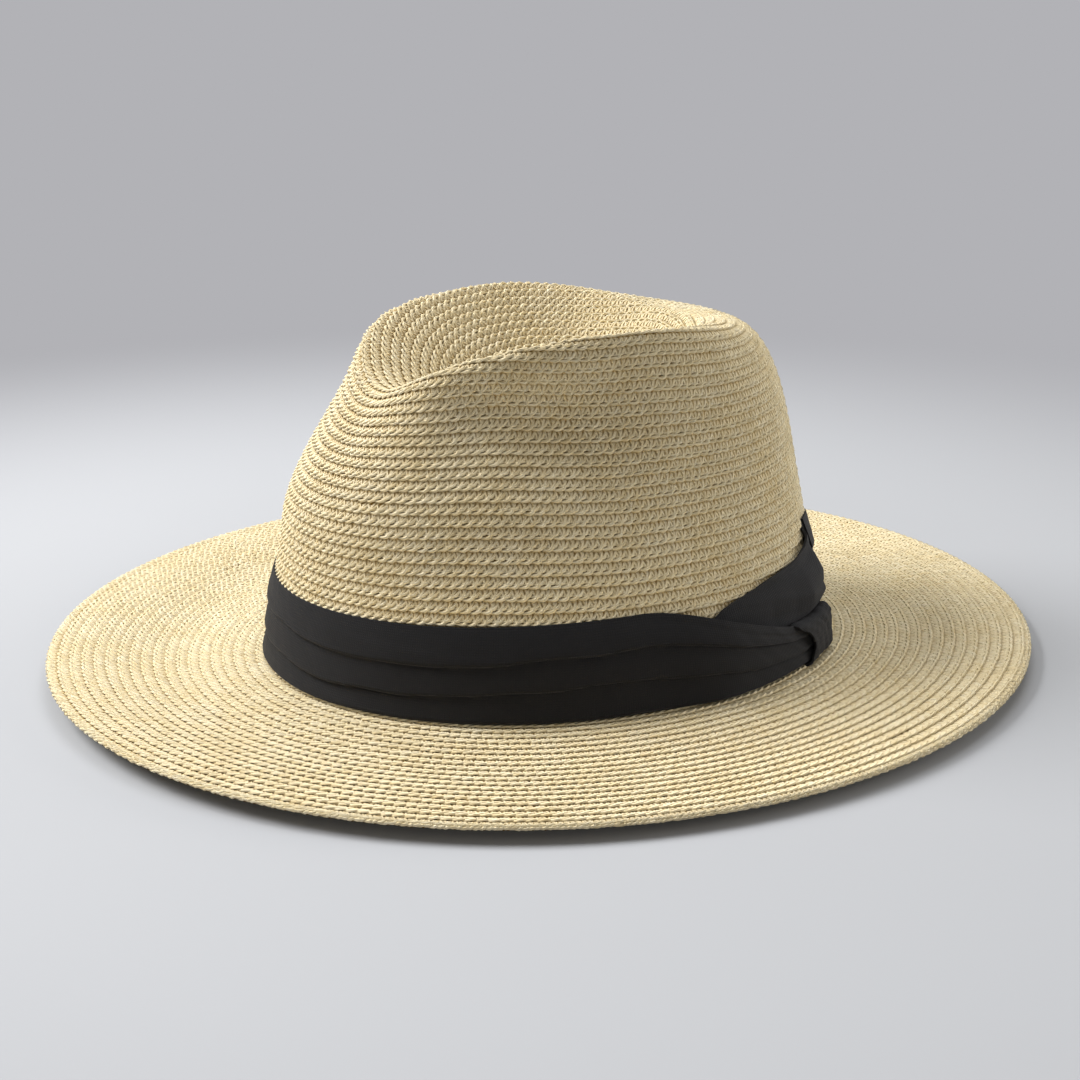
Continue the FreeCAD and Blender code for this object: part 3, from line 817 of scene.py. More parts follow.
class BraidWork:
    """Lays braid on the faces of the hat and makes pieces of it."""

    def __init__(self, braid: Braid, finish: Material) -> None:
        """Keeps the braid's sizes and models its cords once."""
        self.braid = braid
        self.finish = finish
        self.patterns = [braid.pattern(cord) for cord in braid.cords]

    def centre_line(self, length: Length) -> tuple[Net, Net]:
        """Distances along a length of braid, in whole periods, and the turns at them."""
        count = int((length.end - length.start) * 360.0) + 1
        turns = np.linspace(length.start, length.end, count) * 2.0 * math.pi
        row = turns / (2.0 * math.pi) if length.ring is None else np.full_like(turns, length.ring)
        spots = length.face.lay(turns, row, np.zeros_like(turns))
        along = np.concatenate([[0.0], np.cumsum(np.linalg.norm(np.diff(spots, axis=0), axis=1))])
        periods = round(along[-1] / self.braid.period)
        return along * (periods * self.braid.period / along[-1]), turns

    def pieces(self, names: Sequence[str], length: Length) -> list[Piece]:
        """Makes the pieces of one length of braid.

        Args:
            names: a name for each piece, in order along the braid.
            length: where the braid runs.

        Returns:
            The new objects.
        """
        braid = self.braid
        along, turns = self.centre_line(length)
        periods = round(along[-1] / braid.period)
        bounds = np.linspace(0, periods, len(names) + 1).astype(int)
        made = []
        for name, first, last in zip(names, bounds, bounds[1:]):
            strands = []
            for strand in range(3 * len(self.patterns)):
                pattern = self.patterns[strand // 3]
                number = np.arange(first, last)[:, None, None]
                s = pattern[None, :, :, 0] + (number + strand % 3 / 3.0) * braid.period
                middle = pattern.mean(axis=1, keepdims=True)
                section = pattern - middle
                across = np.broadcast_to((middle + section * length.cord)[None, :, :, 1], s.shape)
                over = np.broadcast_to((middle * length.relief + section)[None, :, :, 2], s.shape)
                seed = length.seed * 7 + strand
                ring = s.mean(axis=2, keepdims=True)
                across = across * (1.0 + braid.width_wobble.at(ring, seed))
                across = across + braid.side_wobble.at(ring, seed)
                s = s + braid.lag_wobble.at(ring, seed)
                over = over + braid.lift_wobble.at(ring, seed)
                if length.ring is None:
                    turn = np.interp(s, along, turns)
                    row = turn / (2.0 * math.pi)
                else:
                    turn = np.interp(s % along[-1], along, turns)
                    row = length.ring
                lift = over + braid.tilt * across - braid.sink
                places = length.face.lay(turn, row + across / length.face.pitch, lift)
                tone = 0.5 + braid.long_tones.at(ring, seed)
                tone = tone + braid.short_tones.at(ring, seed)
                # painted shade: darker towards each row's inner edge, which lies under the row
                # above, and where a cord dips under its neighbours; length.shade scales it
                lit = ease((across - braid.lit_from) / (braid.lit_to - braid.lit_from))
                lit = lit * (0.6 + 0.4 * ease(over / braid.over * 0.6 + 0.9))
                lit = 1.0 - (1.0 - lit) * length.shade
                strands.append((places, s, np.broadcast_to(tone, s.shape), lit))
            made.append(self.mesh(name, strands))
        return made

    def mesh(self, name: str, strands: list[tuple[Net, ...]]) -> Piece:
        """Mesh of closed strands.

        Args:
            name: name of the piece.
            strands: for each strand its places, distances along the braid, tones, and how far
                painted shade spares it.

        Returns:
            The new object.
        """
        corners = self.braid.corners
        places, quads, uvs, tones, painted_light = [], [], [], [], []
        offset = 0
        caps = []
        for net, s, tone, lit in strands:
            net = net.reshape(-1, corners, 3) * MM
            s = s.reshape(-1, corners) * MM
            rings = len(net)
            places.append(net.reshape(-1, 3))
            tones.append(tone.reshape(-1))
            painted_light.append(lit.reshape(-1))
            ring = np.arange(rings - 1)[:, None] * corners + offset
            side = np.arange(corners)[None, :]
            after = (side + 1) % corners
            quads.append(np.stack([ring + side, ring + corners + side, ring + corners + after,
                                   ring + after], -1).reshape(-1, 4))
            v0 = np.broadcast_to(side / corners, (rings - 1, corners))
            v1 = v0 + 1.0 / corners
            u0 = np.broadcast_to(s[:-1].mean(axis=1, keepdims=True), v0.shape) + offset * 0.013
            u1 = np.broadcast_to(s[1:].mean(axis=1, keepdims=True), v0.shape) + offset * 0.013
            uvs.append(np.stack([u0, v0, u1, v0, u1, v1, u0, v1], -1).reshape(-1, 2))
            caps.append(np.arange(corners) + offset)
            caps.append(np.arange(corners)[::-1] + offset + (rings - 1) * corners)
            offset += rings * corners
        quads = np.concatenate(quads)
        count = len(quads)
        mesh = bpy.data.meshes.new(name)
        mesh.vertices.add(offset)
        mesh.vertices.foreach_set("co", np.concatenate(places).ravel())
        loops = np.concatenate([quads.ravel(), np.concatenate(caps)])
        mesh.loops.add(len(loops))
        mesh.loops.foreach_set("vertex_index", loops.astype(np.int32))
        starts = np.concatenate([np.arange(count) * 4, count * 4 + np.arange(len(caps)) * corners])
        mesh.polygons.add(count + len(caps))
        mesh.polygons.foreach_set("loop_start", starts.astype(np.int32))
        layer = mesh.uv_layers.new(name="strand")
        values = np.zeros((len(loops), 2))
        values[:count * 4] = np.concatenate(uvs)
        layer.data.foreach_set("uv", values.ravel())
        for kind, values in (("tone", tones), ("open", painted_light)):
            layer = mesh.attributes.new(kind, "FLOAT", "POINT")
            values = np.clip(np.concatenate(values), 0.0, 1.0)
            layer.data.foreach_set("value", values.astype(np.float32))
        mesh.update(calc_edges=True)
        mesh.validate()
        mesh.shade_smooth()
        piece = bpy.data.objects.new(name, mesh)
        bpy.context.collection.objects.link(piece)
        dress(piece, self.finish)
        return piece


SIDE_PARTS = ("upper", "high", "middle", "low", "lower")
BRIM_PARTS = ("inner", "low", "middle", "high", "outer")


@dataclass
class StrawBody:
    """Crown and brim of sewn straw braid."""

    shape: HatShape
    braid: Braid
    crown_rows: float = 50.0
    brim_rows: float = 20.172
    lip: float = 1.3
    lip_out: float = 0.6
    lip_place: float = -0.6
    under_place: float = 0.7
    turned: float = 3.0
    swell_reach: float = 5.0
    columns: int = 360
    lines: int = 420
    ridge_round: float = 3.0
    first_row: float = 0.6
    tip_rows: float = 17.0
    tuck: float = 6.0
    lap_lift: float = -0.9
    lap_thickness: float = 0.3
    lap_columns: int = 160
    # painted light of the lap's outer side, of the braid's end and of the side facing the head; low
    # values give painted shade
    lap_painted_light: float = 0.16
    inner_painted_light: float = 0.6
    end_row: float = 0.9
    end_lift: float = -0.1
    end_painted_light: float = 0.9
    end_tone: float = 0.6

    def crown_face(self) -> Rows:
        """The crown's outer face, rows counted from the middle of the tip."""
        turn = np.linspace(0.0, 2.0 * math.pi, self.columns, endpoint=False)[:, None]
        way = np.linspace(2.0, 0.0, 1400)[None, :]
        turn, way = np.broadcast_arrays(turn, way)
        points = self.shape.crown_point(turn, way)
        steps = np.linalg.norm(np.diff(points, axis=1), axis=2)
        run = np.concatenate([np.zeros((self.columns, 1)), np.cumsum(steps, axis=1)], axis=1)
        places = np.empty((self.columns, self.lines, 3))
        for column in range(self.columns):
            marks = np.linspace(0.0, run[column, -1], self.lines)
            for axis in range(3):
                places[column, :, axis] = np.interp(marks, run[column], points[column, :, axis])
        places = blurred(places, self.ridge_round)
        pitch = run[:, -1].mean() / self.crown_rows
        return Rows(places, blurred(face_normals(places), self.ridge_round), self.crown_rows, pitch)

    def brim_face(self) -> Rows:
        """The brim's upper face, on round its edge and a little way under it."""
        shape = self.shape
        turn = np.linspace(0.0, 2.0 * math.pi, self.columns, endpoint=False)[:, None]
        bend_start = shape.brim_width + self.lip_out - self.lip
        run = bend_start + self.lip * math.pi + self.turned
        way = np.linspace(-self.tuck, run, 640)[None, :]
        turn, way = np.broadcast_arrays(turn, way)
        bend = np.clip((way - bend_start) / self.lip, 0.0, math.pi)
        past = np.maximum(way - bend_start - self.lip * math.pi, 0.0)
        outset = np.minimum(way, bend_start) + self.lip * np.sin(bend) - past
        middle = shape.thickness / 2.0
        swell = ease((way - bend_start + self.swell_reach) / self.swell_reach)
        height = middle + (middle + (self.lip - middle) * swell) * np.cos(bend)
        places = shape.brim_point(turn, outset, height)
        pitch = (bend_start + self.lip_place + self.tuck) / self.brim_rows
        return Rows(places, face_normals(places), (run + self.tuck) / pitch, pitch)

    def lap(self, name: str, face: Rows, last: float, lines: int, end_row: float,
            finish: Material) -> Piece:
        """Makes the part of the rows that lies under their neighbours, seen between the cords, with
        painted shade on it.

        Args:
            name: name of the piece.
            face: face that the braid lies on.
            last: row that it ends at.
            lines: faces along the rows' way.
            end_row: rows covered by the braid's own end, tucked in at the middle.
            finish: its material.

        Returns:
            The new object, a thin layer.
        """
        piece, around, up = flat_sheet(name, self.lap_columns, lines, (0.6, 0.15))
        row = last * up
        end = np.where(row < end_row, 1.0, 0.0)
        lift = self.lap_lift + (self.end_lift - self.lap_lift) * end
        set_coordinates(piece, face.lay(2.0 * math.pi * around, row, lift) * MM)
        # painted shade: the lap is darkened as shade seen between the cords, and the braid's end at
        # the middle less so
        painted_light = self.lap_painted_light + (self.end_painted_light - self.lap_painted_light) * end
        for kind, values in (("open", painted_light), ("tone", self.end_tone * end)):
            layer = piece.data.attributes.new(kind, "FLOAT", "POINT")
            layer.data.foreach_set("value", values.astype(np.float32))
        cloth_solid(piece, finish, self.lap_thickness, 0.0, closed=True)
        # painted shade on the side that faces the head is as light as on the rows
        height = coordinates(piece)[:, 2]
        half = len(height) // 2
        inner = slice(0, half) if height[:half].mean() < height[half:].mean() else slice(half, None)
        painted_light = np.zeros(len(height), dtype=np.float32)
        layer = piece.data.attributes["open"].data
        layer.foreach_get("value", painted_light)
        painted_light[inner] = self.inner_painted_light
        layer.foreach_set("value", painted_light)
        return piece

    def build(self, finish: Material) -> None:
        """Makes every piece of braid and says which parts of the frame they stand for."""
        work = BraidWork(self.braid, finish)
        crown = self.crown_face()
        brim = self.brim_face()
        crown_lap = self.lap("crown_lap", crown, self.crown_rows - 0.2, 80, self.end_row, finish)
        brim_lap = self.lap("brim_lap", brim, self.brim_rows - 0.3, 22, -1.0, finish)
        register(crown_lap, "crown_side_braid")
        register(brim_lap, "brim_braid")
        under_row = self.lip * math.pi + self.under_place - self.lip_place
        under_row = self.brim_rows + under_row / brim.pitch
        side = Length(crown, self.tip_rows, self.crown_rows - 0.1, 3)
        flat = Length(brim, 0.6, self.brim_rows + 0.3, 5, None, 0.5, 0.62, 1.0)
        for node, names, length in (
                ("crown_tip_braid", ["tip_rows"], Length(crown, self.first_row, self.tip_rows, 3)),
                ("crown_side_braid", ["side_rows_" + part for part in SIDE_PARTS], side),
                ("brim_braid", ["brim_rows_" + part for part in BRIM_PARTS], flat),
                ("brim_edge_braid", ["brim_edge_row"],
                 Length(brim, 0.5, 1.5, 9, self.brim_rows, 0.7, 1.0)),
                ("brim_edge_braid", ["brim_turned_row"], Length(brim, 0.5, 1.5, 13, under_row))):
            for piece in work.pieces(names, length):
                register(piece, node)


# ---------------------------------------------------------------- hat band

@dataclass(frozen=True)
class Fold:
    """A line along the band: heights at turns given in degrees."""

    degrees: Sequence[float]
    heights: Sequence[float]

    def at(self, degrees: Net) -> Net:
        """Height of the line at some turns."""
        return np.interp(degrees, self.degrees, self.heights)


CREASE_TURNS = (-216, -170, -120, -70, -30, 0, 20, 38, 57, 73, 86, 107, 128, 140)
UPPER_CREASE = Fold(CREASE_TURNS, (0.70, 0.66, 0.60, 0.64, 0.66, 0.62, 0.55, 0.57, 0.61, 0.65,
                                   0.68, 0.66, 0.64, 0.64))
LOWER_CREASE = Fold(CREASE_TURNS, (0.36, 0.30, 0.33, 0.27, 0.30, 0.27, 0.22, 0.24, 0.32, 0.35,
                                   0.33, 0.30, 0.31, 0.31))
FAN_TOP = Fold((99.0, 102.0, 105.2, 109.1, 118.3, 128.6, 135.7, 142.5, 143.8),
               (24.4, 27.2, 28.8, 29.6, 31.8, 33.0, 34.8, 38.6, 39.4))
FAN_STAND = Fold((99.0, 116.0, 124.0, 130.0, 143.8), (0.0, 0.1, 1.5, 3.7, 3.5))


@dataclass
class HatBand:
    """Folded black cloth round the crown, gathered into a small loop on the wearer's left."""

    shape: HatShape
    start: float = -216.0
    end: float = 134.0
    foot: float = 0.4
    height: float = 31.5
    front_loss: float = 2.0
    back_rise: float = 9.5
    back_rise_turn: float = 45.0
    gather_start: float = 84.0
    gather_end: float = 129.0
    tail_foot: float = 1.2
    tail_top: float = 14.0
    gap: float = 0.3
    face: float = 2.2
    tail_face: float = 6.3
    lift_start: float = 84.0
    lift_turn: float = 20.0
    cloth: float = 0.9
    bulge: float = 1.5
    fold_rise: float = 0.12
    fold_fall: float = 0.85
    fold_power: float = 1.3
    cross_wrinkle: float = 0.16
    long_wrinkle: float = 0.22
    fan_start: float = 99.0
    fan_sweep: float = 48.5
    fan_cloth: float = 0.8
    fan_outset: float = 1.2
    fan_pleats: float = 3.1
    fan_pleat_depth: float = 0.8
    fan_tuck_start: float = 139.5
    fan_tuck_reach: float = 4.0
    fan_tuck_outset: float = 0.5
    loop_start: float = 121.5
    loop_sweep: float = 14.5
    loop_bow: float = 4.0
    loop_middle: float = 7.75
    loop_half_height: float = 7.1
    loop_half_depth: float = 2.3
    loop_corner: float = 3.2
    loop_foot: float = 0.55
    loop_outset: float = 4.9
    loop_cloth: float = 0.7

    def limits(self, degrees: Net) -> tuple[Net, Net, Net]:
        """Foot, top and outset of the band's face at turns in degrees."""
        gather = ease((degrees - self.gather_start) / (self.gather_end - self.gather_start))
        lift = ease((degrees - self.lift_start) / self.lift_turn)
        forward = (1.0 + np.cos(np.radians(degrees))) / 2.0
        top = self.height - self.front_loss * forward ** 2
        top = top + self.back_rise * (1.0 - ease((degrees - self.start) / self.back_rise_turn))
        top = top + (self.tail_top - self.height) * gather
        foot = self.foot + (self.tail_foot - self.foot) * gather
        return foot, top, self.face + (self.tail_face - self.face) * lift

    def sheet(self, work: Material) -> Piece:
        """The band itself, with its long creases."""
        piece, way, share = flat_sheet("band_cloth", 420, 52, (0.57, 0.031))
        degrees = self.start + (self.end - self.start) * way
        foot, top, out = self.limits(degrees)
        low = LOWER_CREASE.at(degrees) + 0.02 * wave(degrees / 50.0, 11)
        high = UPPER_CREASE.at(degrees) + 0.02 * wave(degrees / 60.0, 12)
        # each fold rises quickly over its lower crease and runs out thinly at its upper one
        upper = np.where(share < high, (share - low) / (high - low), (share - high) / (1.0 - high))
        fold = np.where(share < low, share / low, upper)
        fall = self.fold_fall * np.clip(fold, 0.0, 1.0) ** self.fold_power
        body = ease(fold / self.fold_rise) * (1.0 - fall)
        gather = ease((degrees - self.gather_start) / (self.gather_end - self.gather_start))
        wrinkle = wave(degrees / 9.0 + share * 1.7, 21) * (0.3 + gather) * self.cross_wrinkle
        along = wave(share * 3.2 + degrees / 80.0, 23) * (0.35 + 0.5 * gather)
        wrinkle = wrinkle + along * self.long_wrinkle
        outset = out - self.bulge + self.bulge * body + wrinkle * 0.7
        height = foot + (top - foot) * share
        set_coordinates(piece, self.shape.side_wall(np.radians(degrees), height, outset) * MM)
        cloth_solid(piece, work, self.cloth)
        return piece

    def underlap(self, work: Material) -> Piece:
        """Inner end of the band, fanned out behind the gathered end."""
        piece, way, share = flat_sheet("band_underlap_cloth", 60, 30, (0.07, 0.040))
        degrees = self.fan_start + self.fan_sweep * way
        top = FAN_TOP.at(degrees)
        stand = FAN_STAND.at(degrees) * ease((share * top - 11.0) / 9.0)
        stand = stand * (1.0 - 0.85 * ease((share - 0.62) / 0.38))
        pleats = np.abs(np.sin(share * self.fan_pleats * math.pi + 0.9 * way)) ** 0.6
        out = self.gap + self.fan_outset + stand + self.fan_pleat_depth * pleats
        out = out + 0.2 * wave(way * 2.0 + share * 3.0, 31)
        # it runs on flat under the start of the band
        tuck = ease((degrees - self.fan_tuck_start) / self.fan_tuck_reach)
        out = out + (self.fan_tuck_outset - out) * tuck
        height = self.foot + (top - self.foot) * share
        set_coordinates(piece, self.shape.side_wall(np.radians(degrees), height, out) * MM)
        cloth_solid(piece, work, self.fan_cloth)
        return piece

    def loop(self, work: Material) -> Piece:
        """Small cloth loop round the gathered end."""
        piece, way, share = flat_sheet("band_loop_cloth", 60, 14, (0.046, 0.022))
        angle = 2.0 * math.pi * way
        power = 2.0 / self.loop_corner
        up = np.sign(np.sin(angle)) * np.abs(np.sin(angle)) ** power
        out = np.sign(np.cos(angle)) * np.abs(np.cos(angle)) ** power
        pinch = 1.0 + 0.05 * np.cos(2.0 * math.pi * share) + 0.03 * wave(share * 2.5, 41)
        height = self.loop_middle + self.loop_half_height * up * pinch
        bow = self.loop_bow * (1.0 - ((height - 6.0) / 7.5) ** 2)
        degrees = self.loop_start + self.loop_sweep * share + bow * (1.0 - share)
        outset = self.loop_outset + self.loop_half_depth * out * pinch
        outset = outset + 0.3 * wave(share * 3.0 + way * 4.0, 43)
        height = np.maximum(height, self.loop_foot)
        set_coordinates(piece, self.shape.side_wall(np.radians(degrees), height, outset) * MM)
        cloth_solid(piece, work, self.loop_cloth, closed=True)
        return piece

    def build(self, finish: Material) -> None:
        """Makes the band's three cloths."""
        for piece, node, flat, held in (
                (self.sheet(finish), "hat_band", (0.575, 0.038), "gathered"),
                (self.underlap(finish), "hat_band_underlap", (0.072, 0.040), "gathered"),
                (self.loop(finish), "hat_band_loop", (0.048, 0.022), "folded")):
            register(piece, node)


# ---------------------------------------------------------------- lining

@dataclass
class Lining:
    """Sweatband inside the crown, with its size strap, pad and label."""

    shape: HatShape
    height: float = 32.0
    outset: float = -2.1
    thickness: float = 1.0
    strap_centre: float = 28.9
    strap_radius: float = 65.6
    strap_foot: float = 6.8
    strap_height: float = 15.0
    strap_thickness: float = 1.2
    strap_half_turn: float = 24.0

    def sweatband(self, work: Material) -> Piece:
        """Ribbon once round the head opening, closed on itself."""
        piece, way, share = flat_sheet("sweatband_ribbon", 240, 10, (0.565, 0.032))
        turn = 2.0 * math.pi * way
        rolled = 0.35 * ease((share - 0.85) / 0.15)
        out = self.outset - self.thickness * 0.55 - rolled + 0.08 * np.sin(9.0 * turn) * share
        set_coordinates(piece, self.shape.side_wall(turn, self.height * share, out) * MM)
        cloth_solid(piece, work, self.thickness * 0.8, 0.0, closed=True, rim=0.15, angle=40.0)
        return piece

    def patch(self, name: str, first: float, last: float, foot: float, top: float, near: float,
              thickness: float, work: Material) -> Piece:
        """Thin patch with rounded corners on the sweatband's inner face.

        Args:
            name: name of the piece.
            first: turn where it starts, in degrees.
            last: turn where it ends.
            foot: height of its lower edge over the brim.
            top: height of its upper edge.
            near: outset of its face.
            thickness: how thick it is.
            work: its material.

        Returns:
            The new object.
        """
        piece, way, share = flat_sheet(name, 36, 8, (0.08, 0.018))
        way, share = 2.0 * way - 1.0, 2.0 * share - 1.0
        shrink = 1.0 - 0.035 * np.abs(share) ** 8
        degrees = (first + last) / 2.0 + (last - first) / 2.0 * way * shrink
        shrink = 1.0 - 0.06 * np.abs(way) ** 14
        height = (foot + top) / 2.0 + (top - foot) / 2.0 * share * shrink
        set_coordinates(piece, self.shape.side_wall(np.radians(degrees), height, near) * MM)
        cloth_solid(piece, work, thickness, 0.0, rim=thickness * 0.3, angle=40.0)
        return piece

    def strap(self, work: Material) -> Piece:
        """Curved strap with rounded ends, spun round its own centre."""
        centre = Vector((0.0, self.strap_centre, 0.0)) * MM
        middle = Vector((0.0, self.strap_centre + self.strap_radius - self.strap_thickness / 2.0,
                         self.strap_foot + self.strap_height / 2.0)) * MM
        half = math.radians(self.strap_half_turn)
        deselect()
        bpy.ops.mesh.primitive_plane_add(size=1.0, location=(0.0, 0.0, 0.0),
                                         rotation=(0.0, math.pi / 2.0, 0.0))
        piece = name_new("size_strap_tape")
        settle(piece)
        with edit_mode(piece):
            section = (1.0, self.strap_thickness * MM, self.strap_height * MM)
            bpy.ops.transform.resize(value=section)
            bpy.ops.transform.translate(value=middle)
            # from the middle to one end, then the whole is turned back by half
            bpy.ops.mesh.spin(steps=28, angle=2.0 * half, center=centre, axis=(0.0, 0.0, 1.0))
            bpy.ops.mesh.select_all(action="SELECT")
            bpy.ops.mesh.remove_doubles(threshold=WELD_REACH / 2.0)
            bpy.ops.mesh.normals_make_consistent(inside=False)
        places = coordinates(piece)
        angle = np.arctan2(places[:, 0] - centre.x, places[:, 1] - centre.y)
        radial = np.hypot(places[:, 0] - centre.x, places[:, 1] - centre.y)
        angle = angle - (angle.max() + angle.min()) / 2.0
        rounding = 1.0 - 0.22 * np.clip(np.abs(angle) / half, 0.0, 1.0) ** 18
        places[:, 2] = middle.z + (places[:, 2] - middle.z) * rounding
        places[:, 0] = centre.x + radial * np.sin(angle)
        places[:, 1] = centre.y + radial * np.cos(angle)
        set_coordinates(piece, places)
        rim = piece.modifiers.new("rounded_rim", "BEVEL")
        rim.width = 0.35 * MM
        rim.segments = 3
        rim.limit_method = "ANGLE"
        apply_all(piece)
        with edit_mode(piece):
            bpy.ops.mesh.normals_make_consistent(inside=False)
        smooth(piece)
        dress(piece, work)
        return piece

    def build(self, ribbon: Material, loops: Material, hooks: Material, label: Material) -> None:
        """Makes the lining's pieces."""
        band = self.sweatband(ribbon)
        face = self.outset - self.thickness
        pad = self.patch("size_strap_loops", 150.0, 210.0, 4.0, 22.0, face - 0.4, 0.55, loops)
        tag = self.patch("care_label_cloth", -100.0, -84.0, 6.0, 21.0, face - 0.3, 0.35, label)
        strap = self.strap(hooks)
        register(band, "sweatband")
        register(pad, "size_strap_pad")
        register(tag, "care_label")
        register(strap, "size_strap", STRAP_BODY)


# ---------------------------------------------------------------- threads and wire

@dataclass
class EdgeWork:
    """Stitches, tacks and the brim's wire, which follow the straw and the cloth."""

    shape: HatShape
    band: HatBand
    stitches: int = 120
    stitch_inset: float = 4.4
    stitch_sink: float = 0.5
    stitch_length: float = 3.2
    thread: float = 0.26
    wire: float = 0.5
    wire_inset: float = 1.05
    tack_drop: float = 3.0

    def row(self, name: str, starts: Net, ends: Net, finish: Material) -> Piece:
        """A row of stitches, each drawn out between two points.

        Args:
            name: name of the piece.
            starts: where each stitch starts, in millimetres.
            ends: where it ends.
            finish: its material.

        Returns:
            The new object.
        """
        piece = None
        for start, end in zip(starts * MM, ends * MM):
            way = Vector(end - start)
            if piece is None:
                deselect()
            bpy.ops.mesh.primitive_uv_sphere_add(
                segments=8, ring_count=6, radius=1.0, location=(start + end) / 2.0,
                rotation=way.to_track_quat("Z", "Y").to_euler(),
                scale=(self.thread * MM, self.thread * MM, way.length / 2.0))
            if piece is None:
                piece = name_new(name)
                settle(piece)
                bpy.ops.object.mode_set(mode="EDIT")
        bpy.ops.object.mode_set(mode="OBJECT")
        smooth(piece)
        dress(piece, finish)
        return piece

    def edge_stitches(self, finish: Material) -> Piece:
        """Stitches that hold the turned row."""
        turn = np.arange(self.stitches) * 2.0 * math.pi / self.stitches
        outset = self.shape.brim_width - self.stitch_inset
        half = self.stitch_length / 2.0 / (self.shape.half_length + outset)
        height = self.shape.thickness - self.stitch_sink
        return self.row("brim_edge_threads", self.shape.brim_point(turn - half, outset, height),
                        self.shape.brim_point(turn + half, outset, height), finish)

    def tacks(self, finish: Material) -> Piece:
        """Short upright stitches that hold the band."""
        degrees = np.array([-180.0, -135.0, -90.0, -45.0, 0.0, 45.0])
        _, top, out = self.band.limits(degrees)
        turn = np.radians(degrees)
        middle = top - self.tack_drop
        outset = out - self.band.bulge + 0.2
        half = self.stitch_length / 2.0
        return self.row("hat_band_threads", self.shape.side_wall(turn, middle - half, outset),
                        self.shape.side_wall(turn, middle + half, outset), finish)

    def wire_round(self, finish: Material) -> Piece:
        """Wire in the fold of the brim's edge."""
        deselect()
        share = 0.1
        bpy.ops.mesh.primitive_torus_add(major_segments=300, minor_segments=10, major_radius=1.0,
                                         minor_radius=share, location=(0.0, 0.0, 0.0))
        piece = name_new("brim_wire_round")
        settle(piece)
        at = coordinates(piece)
        turn = np.arctan2(at[:, 0], -at[:, 1])
        scale = self.wire / share
        outset = (np.hypot(at[:, 0], at[:, 1]) - 1.0) * scale
        outset = outset + self.shape.brim_width - self.wire_inset
        height = self.shape.thickness / 2.0 + at[:, 2] * scale
        set_coordinates(piece, self.shape.brim_point(turn, outset, height) * MM)
        smooth(piece)
        dress(piece, finish)
        return piece

    def build(self, straw_thread: Material, black_thread: Material, metal: Material) -> None:
        """Makes the threads and the wire."""
        register(self.edge_stitches(straw_thread), "brim_edge_stitches")
        register(self.tacks(black_thread), "hat_band_tacks")
        register(self.wire_round(metal), "brim_wire")


# ---------------------------------------------------------------- pieces kept from the frame

@dataclass
class KeptParts:
    """Parts whose shape in the frame is the finished one, given their finishes."""

    finishes: dict[str, Material]

    def dress(self) -> None:
        """Puts each finish on its part."""
        for node, material in self.finishes.items():
            dress(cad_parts[node], material)
            LOG.info("%s kept", node)


# ---------------------------------------------------------------- studio

def toward_view(turn: float, rise: float) -> Vector:
    """Direction from the hat at a turn from its front and a rise over the floor, in radians."""
    flat = math.cos(rise)
    return Vector((math.sin(turn) * flat, -math.cos(turn) * flat, math.sin(rise)))


